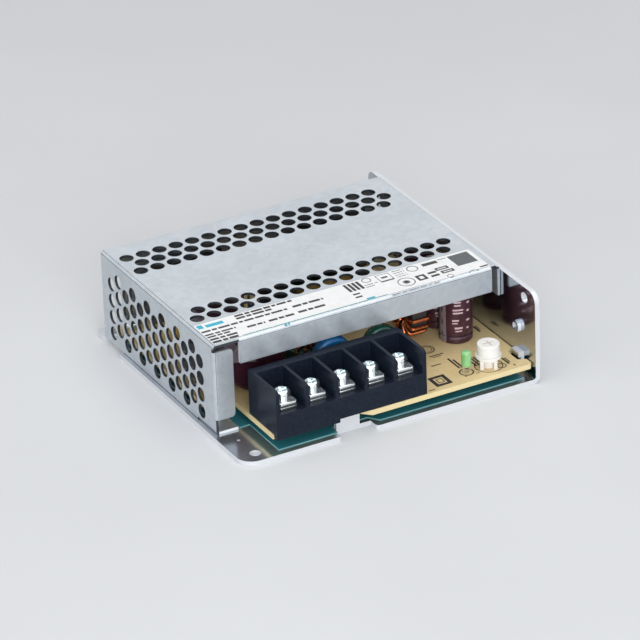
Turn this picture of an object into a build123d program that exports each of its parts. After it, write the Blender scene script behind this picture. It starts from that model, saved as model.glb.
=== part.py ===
from build123d import *
import math
import os

# Open-frame switching power supply in a two-piece metal case.
# X runs to the right along the terminal side, Y runs from the terminals to the back, Z is up.
# The origin is the middle of the base's footprint, on its underside. All sizes are millimetres.

# Case
CASE_WIDTH = 97.0
CASE_DEPTH = 98.0
CASE_HEIGHT = 30.0
CHASSIS_SHEET = 1.5
CHASSIS_BEND = 2.3
COVER_SHEET = 0.8
COVER_BEND = 1.1
SLIDING_GAP = 0.15

# Chassis outline
FRONT_CORNER_RADIUS = 5.0
WALL_CORNER_RADIUS = 3.5
WALL_BELOW_COVER = 1.2
EAR_RADIUS = 2.6
BASE_BACK_MARGIN = 6.2
WALL_EAR_HEIGHT = 8.6
REAR_EAR_REACH = 4.3
REAR_EAR_WIDTH = 10.5
REAR_EAR_INSET = 0.7
SIDE_RELIEF_FROM_BACK = 0.8
SIDE_RELIEF_LENGTH = 12.7
SIDE_RELIEF_DEPTH = 2.3
NOTCH_FROM_LEFT = 30.8
NOTCH_WIDTH = 11.9
NOTCH_DEPTH = 3.8
NOTCH_CORNER_RADIUS = 1.2
STOP_TAB_FROM_NOTCH = 0.8
STOP_TAB_WIDTH = 7.6
STOP_TAB_RISE = 4.0
LUG_WIDTH = 4.1
LUG_FROM_FRONT = 6.6
LUG_REACH = 1.9

# Mounting holes
MOUNT_HOLE_RADIUS = 1.7
BASE_HOLE_FROM_SIDE = 5.75
BASE_HOLE_FROM_FRONT = 4.5
EAR_HOLE_FROM_END = 4.4
WALL_HOLE_FROM_FRONT = 6.0
WALL_HOLE_BELOW_TOP = 3.4
TAPPED_RADIUS = 1.25
WALL_BOSS_HEIGHT = 14.8
WALL_BOSS_RADIUS = 1.9
WALL_BOSS_LENGTH = 1.1
WALL_BOSS_FROM_ENDS = 9.8
BASE_BOSS_RADIUS = 2.5
BASE_BOSS_LENGTH = 2.0
BASE_BOSS_SPACING = 55.0
PIN_HOLE_RADIUS = 0.5
PIN_HOLE_FROM_SIDE = 5.2
PIN_HOLE_FROM_FRONT = 13.55

# Cover
COVER_SIDE_INSET = 1.3
COVER_FRONT_FROM_FRONT = 19.5
COVER_FROM_BACK = 7.5
LIP_DROP = 7.8
LIP_FROM_LEFT = 8.45
LIP_FROM_RIGHT = 2.65
LIP_CORNER_RADIUS = 0.4
CORNER_FLANGE_WIDTH = 6.3
CORNER_FLANGE_TOP_GAP = 2.25
CORNER_RELIEF_DEPTH = 0.9
CORNER_FLANGE_WINDOW = 4.3
CORNER_FLANGE_RADIUS = 1.2
RIGHT_FLANGE_DROP = 9.5
REAR_FLANGE_FROM_LEFT = 5.8
FOOT_WIDTH = 7.0
FOOT_LENGTH = 11.5
FOOT_SCREW_FROM_LEFT = 3.8
FOOT_SCREW_FROM_FRONT = 8.0
VENT_RADIUS = 2.15
VENT_PITCH = 5.4
BACK_VENT_ROWS = 3
BACK_VENT_FROM_REAR = 8.55
FRONT_VENT_ROWS = 2
FRONT_VENT_FROM_FRONT = 17.6
VENT_FROM_LEFT = 4.3
VENT_FROM_RIGHT = 5.0
SIDE_VENT_FROM_REAR = 6.15
SIDE_VENT_FROM_FRONT = 8.0
SIDE_VENT_FROM_TOP = 5.8
SIDE_VENT_FROM_BOTTOM = 3.0
WALL_SCREW_BELOW_TOP = 4.3
WALL_SCREW_FROM_FRONT = 9.0
WALL_SCREW_FROM_BACK = 10.0

# Rating label
LABEL_THICKNESS = 0.1
LABEL_DEPTH = 12.8
LABEL_FROM_RIGHT = 2.5
LABEL_CORNER_RADIUS = 0.6

# Circuit board and insulation
BOARD_RISE = 3.0
BOARD_THICKNESS = 1.6
BOARD_WALL_GAP = 0.3
BOARD_FROM_FRONT = 1.4
BOARD_SIDE_GAP = 1.0
BOARD_REAR_GAP = 1.2
BOARD_CUT_WIDTH = 8.2
BOARD_CUT_DEPTH = 31.6
BOARD_CUT_RADIUS = 2.0
BOARD_STEP = 2.6
BOARD_CORNER_RADIUS = 1.0
BOARD_TAB_GAP = 0.4
BOARD_LUG_GAP = 0.8
STANDOFF_RADIUS = 2.75
STANDOFF_FROM_LEFT = 4.2
STANDOFF_FROM_RIGHT = 5.2
STANDOFF_FROM_BACK = 4.5
STANDOFF_FROM_CHOKE = 4.0
FILM_THICKNESS = 0.25
FILM_FROM_SIDE = 0.9
FILM_FROM_FRONT = 2.4
FILM_STEP_FROM_FRONT = 19.9
FILM_GAP = 0.4

# Fasteners
SCREW_RADIUS = 1.45
SCREW_HOLE_RADIUS = 1.5
PAN_HEAD_RADIUS = 2.75
PAN_HEAD_HEIGHT = 1.9
FLAT_HEAD_RADIUS = 2.7
DRIVE_WIDTH = 0.9
DRIVE_DEPTH = 0.9

# Terminal block
TERMINALS = 5
TERMINAL_PITCH = 9.5
BLOCK_DEPTH = 16.9
BLOCK_HEIGHT = 14.2
BLOCK_END_WALL = 1.2
DIVIDER = 1.1
BLOCK_FRONT_WALL_HEIGHT = 6.85
BLOCK_FRONT_WALL = 1.6
BLOCK_BACK_WALL = 3.1
BLOCK_DECK_HEIGHT = 6.4
BLOCK_CORNER_RADIUS = 1.5
BLOCK_FROM_FRONT = 1.6
BLOCK_FROM_BOARD_LEFT = 0.2
BLOCK_SKIRT_DROP = 1.1
BLOCK_SKIRT_PAST_NOTCH = 1.1
WELL_DEPTH = 4.0
CONTACT_WIDTH = 5.2
CONTACT_THICKNESS = 0.8
CONTACT_FROM_WALL = 1.0
CLAMP_WIDTH = 5.4
CLAMP_LENGTH = 7.2
CLAMP_THICKNESS = 0.8
CLAMP_LIP_DROP = 0.6
CLAMP_CORNER_RADIUS = 0.5
TERMINAL_SCREW_RADIUS = 1.5
TERMINAL_SCREW_GAP = 0.15
TERMINAL_HEAD_RADIUS = 2.65
TERMINAL_HEAD_HEIGHT = 2.4
TERMINAL_SCREW_FROM_FRONT = 6.9

# Parts on the board
BULK_CAP_RADIUS = 9.0
BULK_CAP_LENGTH = 31.0
BULK_CAP_FROM_LEFT = 8.4
OUTPUT_CAP_RADIUS = 5.0
OUTPUT_CAP_HEIGHT = 20.0
OUTPUT_CAP_FROM_RIGHT = 5.4
OUTPUT_CAP_FROM_FRONT = 3.0
OUTPUT_CAP_GAP = 1.4
CAN_GROOVE_DEPTH = 0.35
DISC_THICKNESS = 4.0
DISC_STAND = 3.2
DISC_ROW_GAP = 1.8
DISC_GAP = 4.5
VARISTOR_RADIUS = 6.0
VARISTOR_LEAD_GAP = 7.5
VARISTOR_FROM_BLOCK_LEFT = 29.1
THERMISTOR_RADIUS = 5.5
SMALL_LEAD_GAP = 5.0
Y_CAP_RADIUS = 4.5
Y_CAP_FROM_BULK_CAP = 1.1
Y_CAP_AHEAD = 6.5
LEAD_RADIUS = 0.4
FUSE_RADIUS = 4.2
FUSE_HEIGHT = 7.7
FUSE_FROM_BLOCK_LEFT = 11.9
FILTER_RING_RADIUS = 7.0
FILTER_RING_BORE = 3.6
FILTER_RING_HEIGHT = 7.0
FILTER_FROM_BULK_CAP = 1.6
FILTER_FROM_DISCS = 2.0
FILTER_WINDING_START = 25
FILTER_WINDING_SWEEP = 130
OUTPUT_RING_RADIUS = 6.5
OUTPUT_RING_BORE = 3.4
OUTPUT_RING_WIDTH = 5.0
OUTPUT_WINDING_START = 10
OUTPUT_WINDING_SWEEP = 340
CHOKE_FROM_CAPS = 1.8
CHOKE_FROM_COVER_FRONT = 9.4
WINDING_BUILD = 1.1
X_CAP_LENGTH = 18.0
X_CAP_WIDTH = 8.5
X_CAP_HEIGHT = 15.0
X_CAP_PAST_BULK_CAP = 2.0
BRIDGE_LENGTH = 15.0
BRIDGE_THICKNESS = 3.6
BRIDGE_HEIGHT = 11.0
BRIDGE_STAND = 3.0
BRIDGE_FROM_LEFT = 2.4
BRIDGE_BEHIND_CAP_FRONT = 4.0
CORE_LENGTH = 27.0
CORE_DEPTH = 11.0
CORE_BELOW_COVER = 1.9
CORE_LEG = 3.8
CENTRE_LEG = 7.6
BOBBIN_WALL = 0.9
BOBBIN_FOOT = 1.2
COIL_INSET = 0.6
FIT_GAP = 0.1
TRANSFORMER_FROM_Y_CAP = 2.1
TRANSFORMER_FRONT_SHARE = 0.57
HEAT_SINK_THICKNESS = 2.0
HEAT_SINK_HEIGHT = 20.0
HEAT_SINK_LENGTH = 24.0
HEAT_SINK_CORNER_RADIUS = 1.5
HEAT_SINK_FROM_LEFT = 9.5
HEAT_SINK_FROM_RIGHT = 10.0
PACKAGE_WIDTH = 10.2
PACKAGE_THICKNESS = 4.4
PACKAGE_HEIGHT = 15.0
PACKAGE_TAB = 1.3
PACKAGE_STAND = 4.0
LEAD_PITCH = 2.54
OPTO_LENGTH = 4.6
OPTO_WIDTH = 6.4
OPTO_HEIGHT = 3.5
CHIP_LENGTH = 9.4
CHIPS_FROM_TRANSFORMER = 3.5
RESISTOR_RADIUS = 1.6
RESISTOR_LENGTH = 9.0
RESISTOR_LEAD_GAP = 3.4
RESISTOR_BEHIND = 6.0
LED_RADIUS = 1.5
LED_HEIGHT = 4.6
LED_STAND = 2.3
LED_DOME_RADIUS = 0.8
LED_LEG_WIDTH = 0.5
LED_LEG_GAP = 2.0
LED_FROM_RIGHT = 18.8
LED_FROM_FRONT = 7.0
TRIMMER_FROM_RIGHT = 11.4
TRIMMER_FROM_FRONT = 7.0
TRIMMER_BODY_WIDTH = 5.0
TRIMMER_BODY_TURN = -28
TRIMMER_FOOT_WIDTH = 1.1
TRIMMER_BODY_HEIGHT = 3.1
TRIMMER_COLLAR_RADIUS = 3.78
TRIMMER_COLLAR = 0.8
TRIMMER_CAP_RADIUS = 3.35
TRIMMER_CAP_HEIGHT = 3.6
TRIMMER_SHAFT_RADIUS = 1.2
TRIMMER_BARREL_RADIUS = 1.8
TRIMMER_RUNNING_GAP = 0.05
TRIMMER_SLOT = 0.7

# Positions that follow from the sizes above
LEFT = -CASE_WIDTH / 2
RIGHT = CASE_WIDTH / 2
FRONT = -CASE_DEPTH / 2
BACK = CASE_DEPTH / 2
FLOOR = CHASSIS_SHEET
WALL_INSIDE = RIGHT - CHASSIS_SHEET
WALL_TOP = CASE_HEIGHT - WALL_BELOW_COVER
BASE_BACK = BACK - BASE_BACK_MARGIN
COVER_LEFT = LEFT + COVER_SIDE_INSET
COVER_RIGHT = WALL_INSIDE - SLIDING_GAP
COVER_FRONT = FRONT + COVER_FRONT_FROM_FRONT
COVER_BACK = BACK - COVER_FROM_BACK
BOARD_BOTTOM = FLOOR + BOARD_RISE
BOARD_TOP = BOARD_BOTTOM + BOARD_THICKNESS
BOARD_LEFT = COVER_LEFT + COVER_SHEET + BOARD_SIDE_GAP
BOARD_RIGHT = WALL_INSIDE - BOARD_WALL_GAP
BOARD_FRONT = FRONT + BOARD_FROM_FRONT
BOARD_BACK = COVER_BACK - COVER_SHEET - BOARD_REAR_GAP
BOARD_CUT = BOARD_LEFT + BOARD_CUT_WIDTH
NOTCH_LEFT = LEFT + NOTCH_FROM_LEFT
NOTCH_BACK = FRONT + NOTCH_DEPTH
TAB_LEFT = NOTCH_LEFT + STOP_TAB_FROM_NOTCH
TAB_RIGHT = TAB_LEFT + STOP_TAB_WIDTH
ROW_STEP = VENT_PITCH * math.sqrt(3) / 2

# Places on the board: the terminal block and, behind it, the left column
block_left = BOARD_CUT + BLOCK_FROM_BOARD_LEFT
block_right = block_left + TERMINALS * TERMINAL_PITCH + 2 * BLOCK_END_WALL - DIVIDER
block_front = FRONT + BLOCK_FROM_FRONT
block_back = block_front + BLOCK_DEPTH
column_parts = 2 * FUSE_RADIUS + BULK_CAP_LENGTH + X_CAP_WIDTH + PACKAGE_THICKNESS + HEAT_SINK_THICKNESS
column_free = BOARD_BACK - block_back - column_parts
fuse_x = block_left + FUSE_FROM_BLOCK_LEFT
fuse_y = block_back + 0.07 * column_free + FUSE_RADIUS
bulk_x = BOARD_LEFT + BULK_CAP_FROM_LEFT + BULK_CAP_RADIUS
bulk_y = fuse_y + FUSE_RADIUS + 0.10 * column_free
x_cap_y = bulk_y + BULK_CAP_LENGTH + 0.18 * column_free
sink_y = x_cap_y + X_CAP_WIDTH + 0.34 * column_free + PACKAGE_THICKNESS
bulk_right = bulk_x + BULK_CAP_RADIUS

# Places on the board: the discs, the filter choke and the transformer in the middle
disc_y = block_back + DISC_ROW_GAP + DISC_THICKNESS / 2
varistor_x = block_left + VARISTOR_FROM_BLOCK_LEFT
thermistor_x = varistor_x + VARISTOR_RADIUS + DISC_GAP + THERMISTOR_RADIUS
filter_outer = FILTER_RING_RADIUS + WINDING_BUILD
filter_x = bulk_right + FILTER_FROM_BULK_CAP + filter_outer
filter_y = disc_y + DISC_THICKNESS / 2 + FILTER_FROM_DISCS + filter_outer
window_width = (CORE_LENGTH - CENTRE_LEG - 2 * CORE_LEG) / 2
bobbin_half_depth = CORE_DEPTH / 2 + FIT_GAP + BOBBIN_WALL + window_width
middle_free = sink_y - filter_y - filter_outer - 2 * bobbin_half_depth
y_cap_x = bulk_right + Y_CAP_FROM_BULK_CAP + Y_CAP_RADIUS
transformer_x = y_cap_x + Y_CAP_RADIUS + TRANSFORMER_FROM_Y_CAP + CORE_LENGTH / 2
transformer_y = filter_y + filter_outer + TRANSFORMER_FRONT_SHARE * middle_free + bobbin_half_depth
y_cap_y = transformer_y - Y_CAP_AHEAD
resistor_y = transformer_y + RESISTOR_BEHIND

# Places on the board: the output side on the right
right_bank_x = BOARD_RIGHT - OUTPUT_CAP_FROM_RIGHT - OUTPUT_CAP_RADIUS
output_cap_step = 2 * OUTPUT_CAP_RADIUS + OUTPUT_CAP_GAP
output_cap_front = COVER_FRONT + OUTPUT_CAP_FROM_FRONT + OUTPUT_CAP_RADIUS
output_cap_spots = [(right_bank_x, output_cap_front + output_cap_step * i) for i in range(3)]
choke_half_width = OUTPUT_RING_WIDTH / 2 + WINDING_BUILD
choke_x = right_bank_x - OUTPUT_CAP_RADIUS - CHOKE_FROM_CAPS - choke_half_width
choke_y = COVER_FRONT + CHOKE_FROM_COVER_FRONT + OUTPUT_RING_RADIUS + WINDING_BUILD
chips_x = transformer_x + CORE_LENGTH / 2 + CHIPS_FROM_TRANSFORMER
chips_front = output_cap_spots[-1][1] + OUTPUT_CAP_RADIUS
chips_gap = (sink_y - PACKAGE_THICKNESS - chips_front - 2 * OPTO_WIDTH) / 3
opto_y = chips_front + chips_gap
chip_y = opto_y + OPTO_WIDTH + chips_gap
left_sink_x = BOARD_LEFT + HEAT_SINK_FROM_LEFT
right_sink_x = BOARD_RIGHT - HEAT_SINK_FROM_RIGHT - HEAT_SINK_LENGTH
standoffs = [
    (BOARD_LEFT + STANDOFF_FROM_LEFT, BOARD_BACK - STANDOFF_FROM_BACK),
    (BOARD_RIGHT - STANDOFF_FROM_RIGHT, BOARD_BACK - STANDOFF_FROM_BACK),
    (choke_x - choke_half_width - STANDOFF_FROM_CHOKE, choke_y),
]


def box(x0, x1, y0, y1, z0, z1):
    """A block between two corners."""
    centre = Pos((x0 + x1) / 2, (y0 + y1) / 2, (z0 + z1) / 2)
    return centre * Box(x1 - x0, y1 - y0, z1 - z0)


def drum(x, y, z0, z1, radius):
    """An upright cylinder between two heights."""
    return Pos(x, y, (z0 + z1) / 2) * Cylinder(radius, z1 - z0)


def rod_x(x0, x1, y, z, radius):
    """A cylinder along X."""
    return Pos((x0 + x1) / 2, y, z) * Rot(0, 90, 0) * Cylinder(radius, x1 - x0)


def rod_y(x, y0, y1, z, radius):
    """A cylinder along Y."""
    return Pos(x, (y0 + y1) / 2, z) * Rot(90, 0, 0) * Cylinder(radius, y1 - y0)


def plate(outline, z0, z1):
    """A flat sheet with the given plan outline."""
    return extrude(Pos(0, 0, z0) * outline, z1 - z0)


def along_x(section, x0, x1):
    """A section drawn in Y and Z, run along X."""
    return extrude(Plane.YZ.offset(x0) * section, x1 - x0)


def along_y(section, y0, y1):
    """A section drawn in X and Z, run along Y."""
    return extrude(Plane.XZ.offset(-y1) * section, y1 - y0)


def outline(points):
    """A closed flat outline through the points."""
    return make_face(Polyline(*points, close=True))


def round_near(sketch, spots, radius):
    """Rounds the outline's corners that lie at the given spots."""
    picked = []
    for x, y in spots:
        picked.append(min(sketch.vertices(), key=lambda v: math.hypot(v.X - x, v.Y - y)))
    return fillet(picked, radius)


def one(shape):
    """The single solid of a piece, without its wrapper."""
    return shape.clean().solids()[0]


def group(shapes):
    """Separate solids that share one node."""
    solids = []
    for shape in shapes:
        solids.extend(shape.solids())
    return Compound(children=solids)


# Chassis: one sheet bent into a base and a right-hand wall
base_corner = LEFT + REAR_EAR_INSET
relief_back = BASE_BACK - SIDE_RELIEF_FROM_BACK
relief_front = relief_back - SIDE_RELIEF_LENGTH
relief_edge = LEFT + SIDE_RELIEF_DEPTH
ear_right = base_corner + REAR_EAR_WIDTH
ear_back = BASE_BACK + REAR_EAR_REACH
base_hole_x = LEFT + BASE_HOLE_FROM_SIDE
front_hole_y = FRONT + BASE_HOLE_FROM_FRONT
ear_hole_y = ear_back - EAR_HOLE_FROM_END
wall_hole_z = WALL_TOP - WALL_HOLE_BELOW_TOP
wall_hole_y = FRONT + WALL_HOLE_FROM_FRONT
ear_wall_hole_y = BACK - EAR_HOLE_FROM_END
wall_boss_ys = [FRONT + WALL_BOSS_FROM_ENDS, BASE_BACK - WALL_BOSS_FROM_ENDS]
base_boss_y = (COVER_FRONT + COVER_BACK) / 2
base_boss_x = BASE_BOSS_SPACING / 2
foot_screw_x = COVER_LEFT + FOOT_SCREW_FROM_LEFT
foot_screw_y = COVER_FRONT + FOOT_SCREW_FROM_FRONT
wall_screw_z = WALL_TOP - WALL_SCREW_BELOW_TOP
wall_screw_ys = [COVER_FRONT + WALL_SCREW_FROM_FRONT, COVER_BACK - WALL_SCREW_FROM_BACK]


def make_chassis():
    section = Pos(0, WALL_TOP / 2) * Rectangle(CASE_WIDTH, WALL_TOP)
    section = round_near(section, [(RIGHT, 0)], CHASSIS_BEND)
    hollow = Pos(-CHASSIS_SHEET, WALL_TOP / 2 + CHASSIS_SHEET) * Rectangle(CASE_WIDTH, WALL_TOP)
    hollow = round_near(hollow, [(WALL_INSIDE, CHASSIS_SHEET)], CHASSIS_BEND - CHASSIS_SHEET)
    body = along_y(section - hollow, FRONT, BACK)

    # plan of the base, with its relief, rear ear and front notch
    plan = outline(
        [
            (LEFT, FRONT),
            (NOTCH_LEFT, FRONT),
            (NOTCH_LEFT, NOTCH_BACK),
            (NOTCH_LEFT + NOTCH_WIDTH, NOTCH_BACK),
            (NOTCH_LEFT + NOTCH_WIDTH, FRONT),
            (RIGHT, FRONT),
            (RIGHT, BACK),
            (WALL_INSIDE, BACK),
            (WALL_INSIDE, BASE_BACK),
            (ear_right, BASE_BACK),
            (ear_right, ear_back),
            (base_corner, ear_back),
            (base_corner, relief_back),
            (relief_edge, relief_back),
            (relief_edge, relief_front),
            (LEFT, relief_front),
        ]
    )
    plan = round_near(plan, [(LEFT, FRONT)], FRONT_CORNER_RADIUS)
    plan = round_near(plan, [(ear_right, ear_back), (base_corner, ear_back)], EAR_RADIUS)
    plan = round_near(plan, [(NOTCH_LEFT + NOTCH_WIDTH, FRONT)], NOTCH_CORNER_RADIUS)
    body = body & plate(plan, 0, WALL_TOP)

    # side outline of the wall, with its rounded front corner and rear ear
    side = outline(
        [
            (FRONT, 0),
            (BASE_BACK, 0),
            (BASE_BACK, WALL_TOP - WALL_EAR_HEIGHT),
            (BACK, WALL_TOP - WALL_EAR_HEIGHT),
            (BACK, WALL_TOP),
            (FRONT, WALL_TOP),
        ]
    )
    side = round_near(side, [(FRONT, WALL_TOP)], WALL_CORNER_RADIUS)
    side = round_near(side, [(BACK, WALL_TOP), (BACK, WALL_TOP - WALL_EAR_HEIGHT)], EAR_RADIUS)
    base_side = outline([(FRONT, 0), (ear_back, 0), (ear_back, CHASSIS_BEND), (FRONT, CHASSIS_BEND)])
    body = body & (along_x(side, RIGHT - CHASSIS_BEND, RIGHT) + along_x(base_side, LEFT, RIGHT - CHASSIS_BEND))

    # stop tab turned up behind the front notch
    tab_back = NOTCH_BACK + CHASSIS_SHEET
    body += box(TAB_LEFT, TAB_RIGHT, NOTCH_BACK, tab_back, 0, FLOOR + STOP_TAB_RISE)

    # lug turned in from the wall beside the board, and the slot it leaves below itself
    lug_front = FRONT + LUG_FROM_FRONT
    lug_back = lug_front + LUG_WIDTH
    body += box(WALL_INSIDE - LUG_REACH, RIGHT, lug_front, lug_back, BOARD_TOP, BOARD_TOP + CHASSIS_SHEET)
    slot = box(WALL_INSIDE - 1, RIGHT + 1, lug_front, lug_back, BOARD_TOP - LUG_REACH, BOARD_TOP)
    body -= slot

    # pressed bosses: the board's standoffs and the mounting threads; a plain hole for the cover's foot
    for x, y in standoffs:
        body += drum(x, y, 0, BOARD_BOTTOM, STANDOFF_RADIUS)
        body -= drum(x, y, -1, BOARD_BOTTOM + 1, SCREW_HOLE_RADIUS)
    body -= drum(foot_screw_x, foot_screw_y, -1, FLOOR + 1, SCREW_HOLE_RADIUS)
    for side_x in (-base_boss_x, base_boss_x):
        body += drum(side_x, base_boss_y, 0, FLOOR + BASE_BOSS_LENGTH, BASE_BOSS_RADIUS)
        body -= drum(side_x, base_boss_y, -1, FLOOR + BASE_BOSS_LENGTH + 1, TAPPED_RADIUS)
    for y in wall_boss_ys:
        body += rod_x(WALL_INSIDE - WALL_BOSS_LENGTH, RIGHT, y, WALL_BOSS_HEIGHT, WALL_BOSS_RADIUS)
        body -= rod_x(WALL_INSIDE - WALL_BOSS_LENGTH - 1, RIGHT + 1, y, WALL_BOSS_HEIGHT, TAPPED_RADIUS)

    # plain mounting holes in the base, its ear, the wall and the wall's ear
    for y in (front_hole_y, ear_hole_y):
        body -= drum(base_hole_x, y, -1, FLOOR + 1, MOUNT_HOLE_RADIUS)
    for y in (wall_hole_y, ear_wall_hole_y):
        body -= rod_x(WALL_INSIDE - 1, RIGHT + 1, y, wall_hole_z, MOUNT_HOLE_RADIUS)
    body -= drum(LEFT + PIN_HOLE_FROM_SIDE, FRONT + PIN_HOLE_FROM_FRONT, -1, FLOOR + 1, PIN_HOLE_RADIUS)

    # countersinks for the two flat-head screws that hold the cover's right flange
    for y in wall_screw_ys:
        sink = Cone(SCREW_HOLE_RADIUS, FLAT_HEAD_RADIUS + SLIDING_GAP, CHASSIS_SHEET)
        body -= Pos(RIGHT - CHASSIS_SHEET / 2, y, wall_screw_z) * Rot(0, 90, 0) * sink
    return one(body)


# Cover: one perforated sheet folded into a top, a left side, a rear and narrow flanges
vent_x0 = COVER_LEFT + VENT_FROM_LEFT
back_vent_y = COVER_BACK - BACK_VENT_FROM_REAR
front_vent_y = COVER_FRONT + FRONT_VENT_FROM_FRONT + ROW_STEP * (FRONT_VENT_ROWS - 1)
side_vent_y = COVER_BACK - SIDE_VENT_FROM_REAR
side_vent_z = CASE_HEIGHT - SIDE_VENT_FROM_TOP
side_bottom = FLOOR + SLIDING_GAP
top_vent_columns = 1 + int((COVER_RIGHT - VENT_FROM_RIGHT - vent_x0 - VENT_PITCH / 2) / VENT_PITCH)
side_vent_columns = 1 + int((side_vent_y - COVER_FRONT - SIDE_VENT_FROM_FRONT) / ROW_STEP)
lowest_vent_z = side_bottom + SIDE_VENT_FROM_BOTTOM
side_vent_rows = 1 + int((side_vent_z - VENT_PITCH / 2 - lowest_vent_z) / VENT_PITCH)
lip_left = COVER_LEFT + LIP_FROM_LEFT
lip_right = COVER_RIGHT - LIP_FROM_RIGHT
rear_left = COVER_LEFT + REAR_FLANGE_FROM_LEFT


def vent_centres(x0, y0, columns, rows, first_shift):
    """A staggered field of round holes: every other row moves by half a pitch."""
    spots = []
    for row in range(rows):
        shift = VENT_PITCH / 2 if row % 2 == first_shift else 0
        for column in range(columns):
            spots.append((x0 + shift + VENT_PITCH * column, y0 - ROW_STEP * row))
    return spots


def fold(width, height, sheet=COVER_SHEET):
    """An L section in the first quadrant: a flange hanging down at 0 from a sheet that runs off."""
    full = Pos(width / 2, -height / 2) * Rectangle(width, height)
    full = round_near(full, [(0, 0)], COVER_BEND)
    inside = Pos(sheet + width / 2, -sheet - height / 2) * Rectangle(width, height)
    inside = round_near(inside, [(sheet, -sheet)], COVER_BEND - sheet)
    return full - inside


def make_cover():
    top_z = CASE_HEIGHT
    width = COVER_RIGHT - COVER_LEFT
    middle = (COVER_LEFT + COVER_RIGHT) / 2

    # left side, top and right flange as one channel
    outside = Pos(middle, top_z / 2) * Rectangle(width, top_z)
    outside = round_near(outside, [(COVER_LEFT, top_z), (COVER_RIGHT, top_z)], COVER_BEND)
    hollow = Pos(middle, top_z / 2 - COVER_SHEET) * Rectangle(width - 2 * COVER_SHEET, top_z)
    corners = [
        (COVER_LEFT + COVER_SHEET, top_z - COVER_SHEET),
        (COVER_RIGHT - COVER_SHEET, top_z - COVER_SHEET),
    ]
    hollow = round_near(hollow, corners, COVER_BEND - COVER_SHEET)
    body = along_y(outside - hollow, COVER_FRONT, COVER_BACK)
    body -= box(LEFT - 1, middle, COVER_FRONT - 1, COVER_BACK + 1, -1, side_bottom)
    body -= box(middle, RIGHT, COVER_FRONT - 1, COVER_BACK + 1, -1, top_z - RIGHT_FLANGE_DROP)

    # front lip under the label
    body -= box(lip_left, lip_right, COVER_FRONT - 1, COVER_FRONT + COVER_BEND, 0, top_z + 1)
    body -= box(lip_right, COVER_RIGHT - COVER_BEND, COVER_FRONT - 1, COVER_FRONT + COVER_SHEET, 0, top_z + 1)
    lip = Pos(COVER_FRONT, top_z) * fold(COVER_BEND + COVER_SHEET, LIP_DROP)
    lip = along_x(lip, lip_left, lip_right)
    face = Pos((lip_left + lip_right) / 2, top_z - LIP_DROP / 2) * Rectangle(lip_right - lip_left, LIP_DROP)
    low = top_z - LIP_DROP
    face = round_near(face, [(lip_left, low), (lip_right, low)], LIP_CORNER_RADIUS)
    body += lip & along_y(face, COVER_FRONT, COVER_FRONT + COVER_BEND + COVER_SHEET)

    # rear wall
    body -= box(rear_left, COVER_RIGHT + 1, COVER_BACK - COVER_BEND, COVER_BACK + 1, 0, top_z + 1)
    rear = Pos(-COVER_BACK, top_z) * fold(COVER_BEND + COVER_SHEET, top_z - side_bottom)
    rear = mirror(rear, Plane.YZ)
    rear_right = COVER_RIGHT - COVER_BEND
    body += along_x(rear, rear_left, rear_right)

    # narrow upright flange at the front left corner, with a window below it
    corner_right = COVER_LEFT + CORNER_FLANGE_WIDTH
    corner_top = top_z - CORNER_FLANGE_TOP_GAP
    corner_low = side_bottom + CORNER_FLANGE_WINDOW
    upright = Pos(COVER_LEFT, COVER_FRONT) * mirror(fold(CORNER_FLANGE_WIDTH, 2 * COVER_BEND), Plane.XZ)
    body -= box(
        LEFT - 1, COVER_LEFT + COVER_BEND, COVER_FRONT - 1, COVER_FRONT + COVER_BEND, corner_low, corner_top
    )
    relief_end = COVER_FRONT + CORNER_RELIEF_DEPTH
    body -= box(LEFT - 1, COVER_LEFT + COVER_BEND, COVER_FRONT - 1, relief_end, corner_top, top_z - COVER_BEND)
    face = Pos(COVER_LEFT + CORNER_FLANGE_WIDTH / 2, (corner_low + corner_top) / 2) * Rectangle(
        CORNER_FLANGE_WIDTH, corner_top - corner_low
    )
    face = round_near(face, [(corner_right, corner_low), (corner_right, corner_top)], CORNER_FLANGE_RADIUS)
    body += plate(upright, corner_low, corner_top) & along_y(face, COVER_FRONT, COVER_FRONT + 3 * COVER_BEND)

    # foot turned in under the left side, where a screw holds it down
    foot_back = COVER_FRONT + FOOT_LENGTH
    foot = Pos(COVER_LEFT, FLOOR) * mirror(fold(FOOT_WIDTH, 2 * COVER_BEND), Plane.XZ)
    body -= box(LEFT - 1, COVER_LEFT + COVER_BEND, COVER_FRONT - 1, foot_back, 0, FLOOR + COVER_BEND)
    body += along_y(foot, COVER_FRONT, foot_back)
    body -= drum(foot_screw_x, foot_screw_y, FLOOR - 1, FLOOR + COVER_SHEET + 1, SCREW_HOLE_RADIUS)

    # vents in the top and the left side, and the flange's screw holes
    spots = vent_centres(vent_x0, back_vent_y, top_vent_columns, BACK_VENT_ROWS, 1)
    spots += vent_centres(vent_x0, front_vent_y, top_vent_columns, FRONT_VENT_ROWS, 0)
    holes = Sketch() + [Pos(x, y) * Circle(VENT_RADIUS) for x, y in spots]
    body -= plate(holes, top_z - 2 * COVER_SHEET, top_z + 1)
    side_spots = []
    for column in range(side_vent_columns):
        drop = 0 if column % 2 else VENT_PITCH / 2
        for row in range(side_vent_rows):
            side_spots.append((side_vent_y - ROW_STEP * column, side_vent_z - drop - VENT_PITCH * row))
    holes = Sketch() + [Pos(y, z) * Circle(VENT_RADIUS) for y, z in side_spots]
    body -= along_x(holes, COVER_LEFT - 1, COVER_LEFT + 2 * COVER_SHEET)
    for y in wall_screw_ys:
        body -= rod_x(COVER_RIGHT - 2 * COVER_SHEET, COVER_RIGHT + 1, y, wall_screw_z, SCREW_HOLE_RADIUS)
    return one(body)


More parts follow.
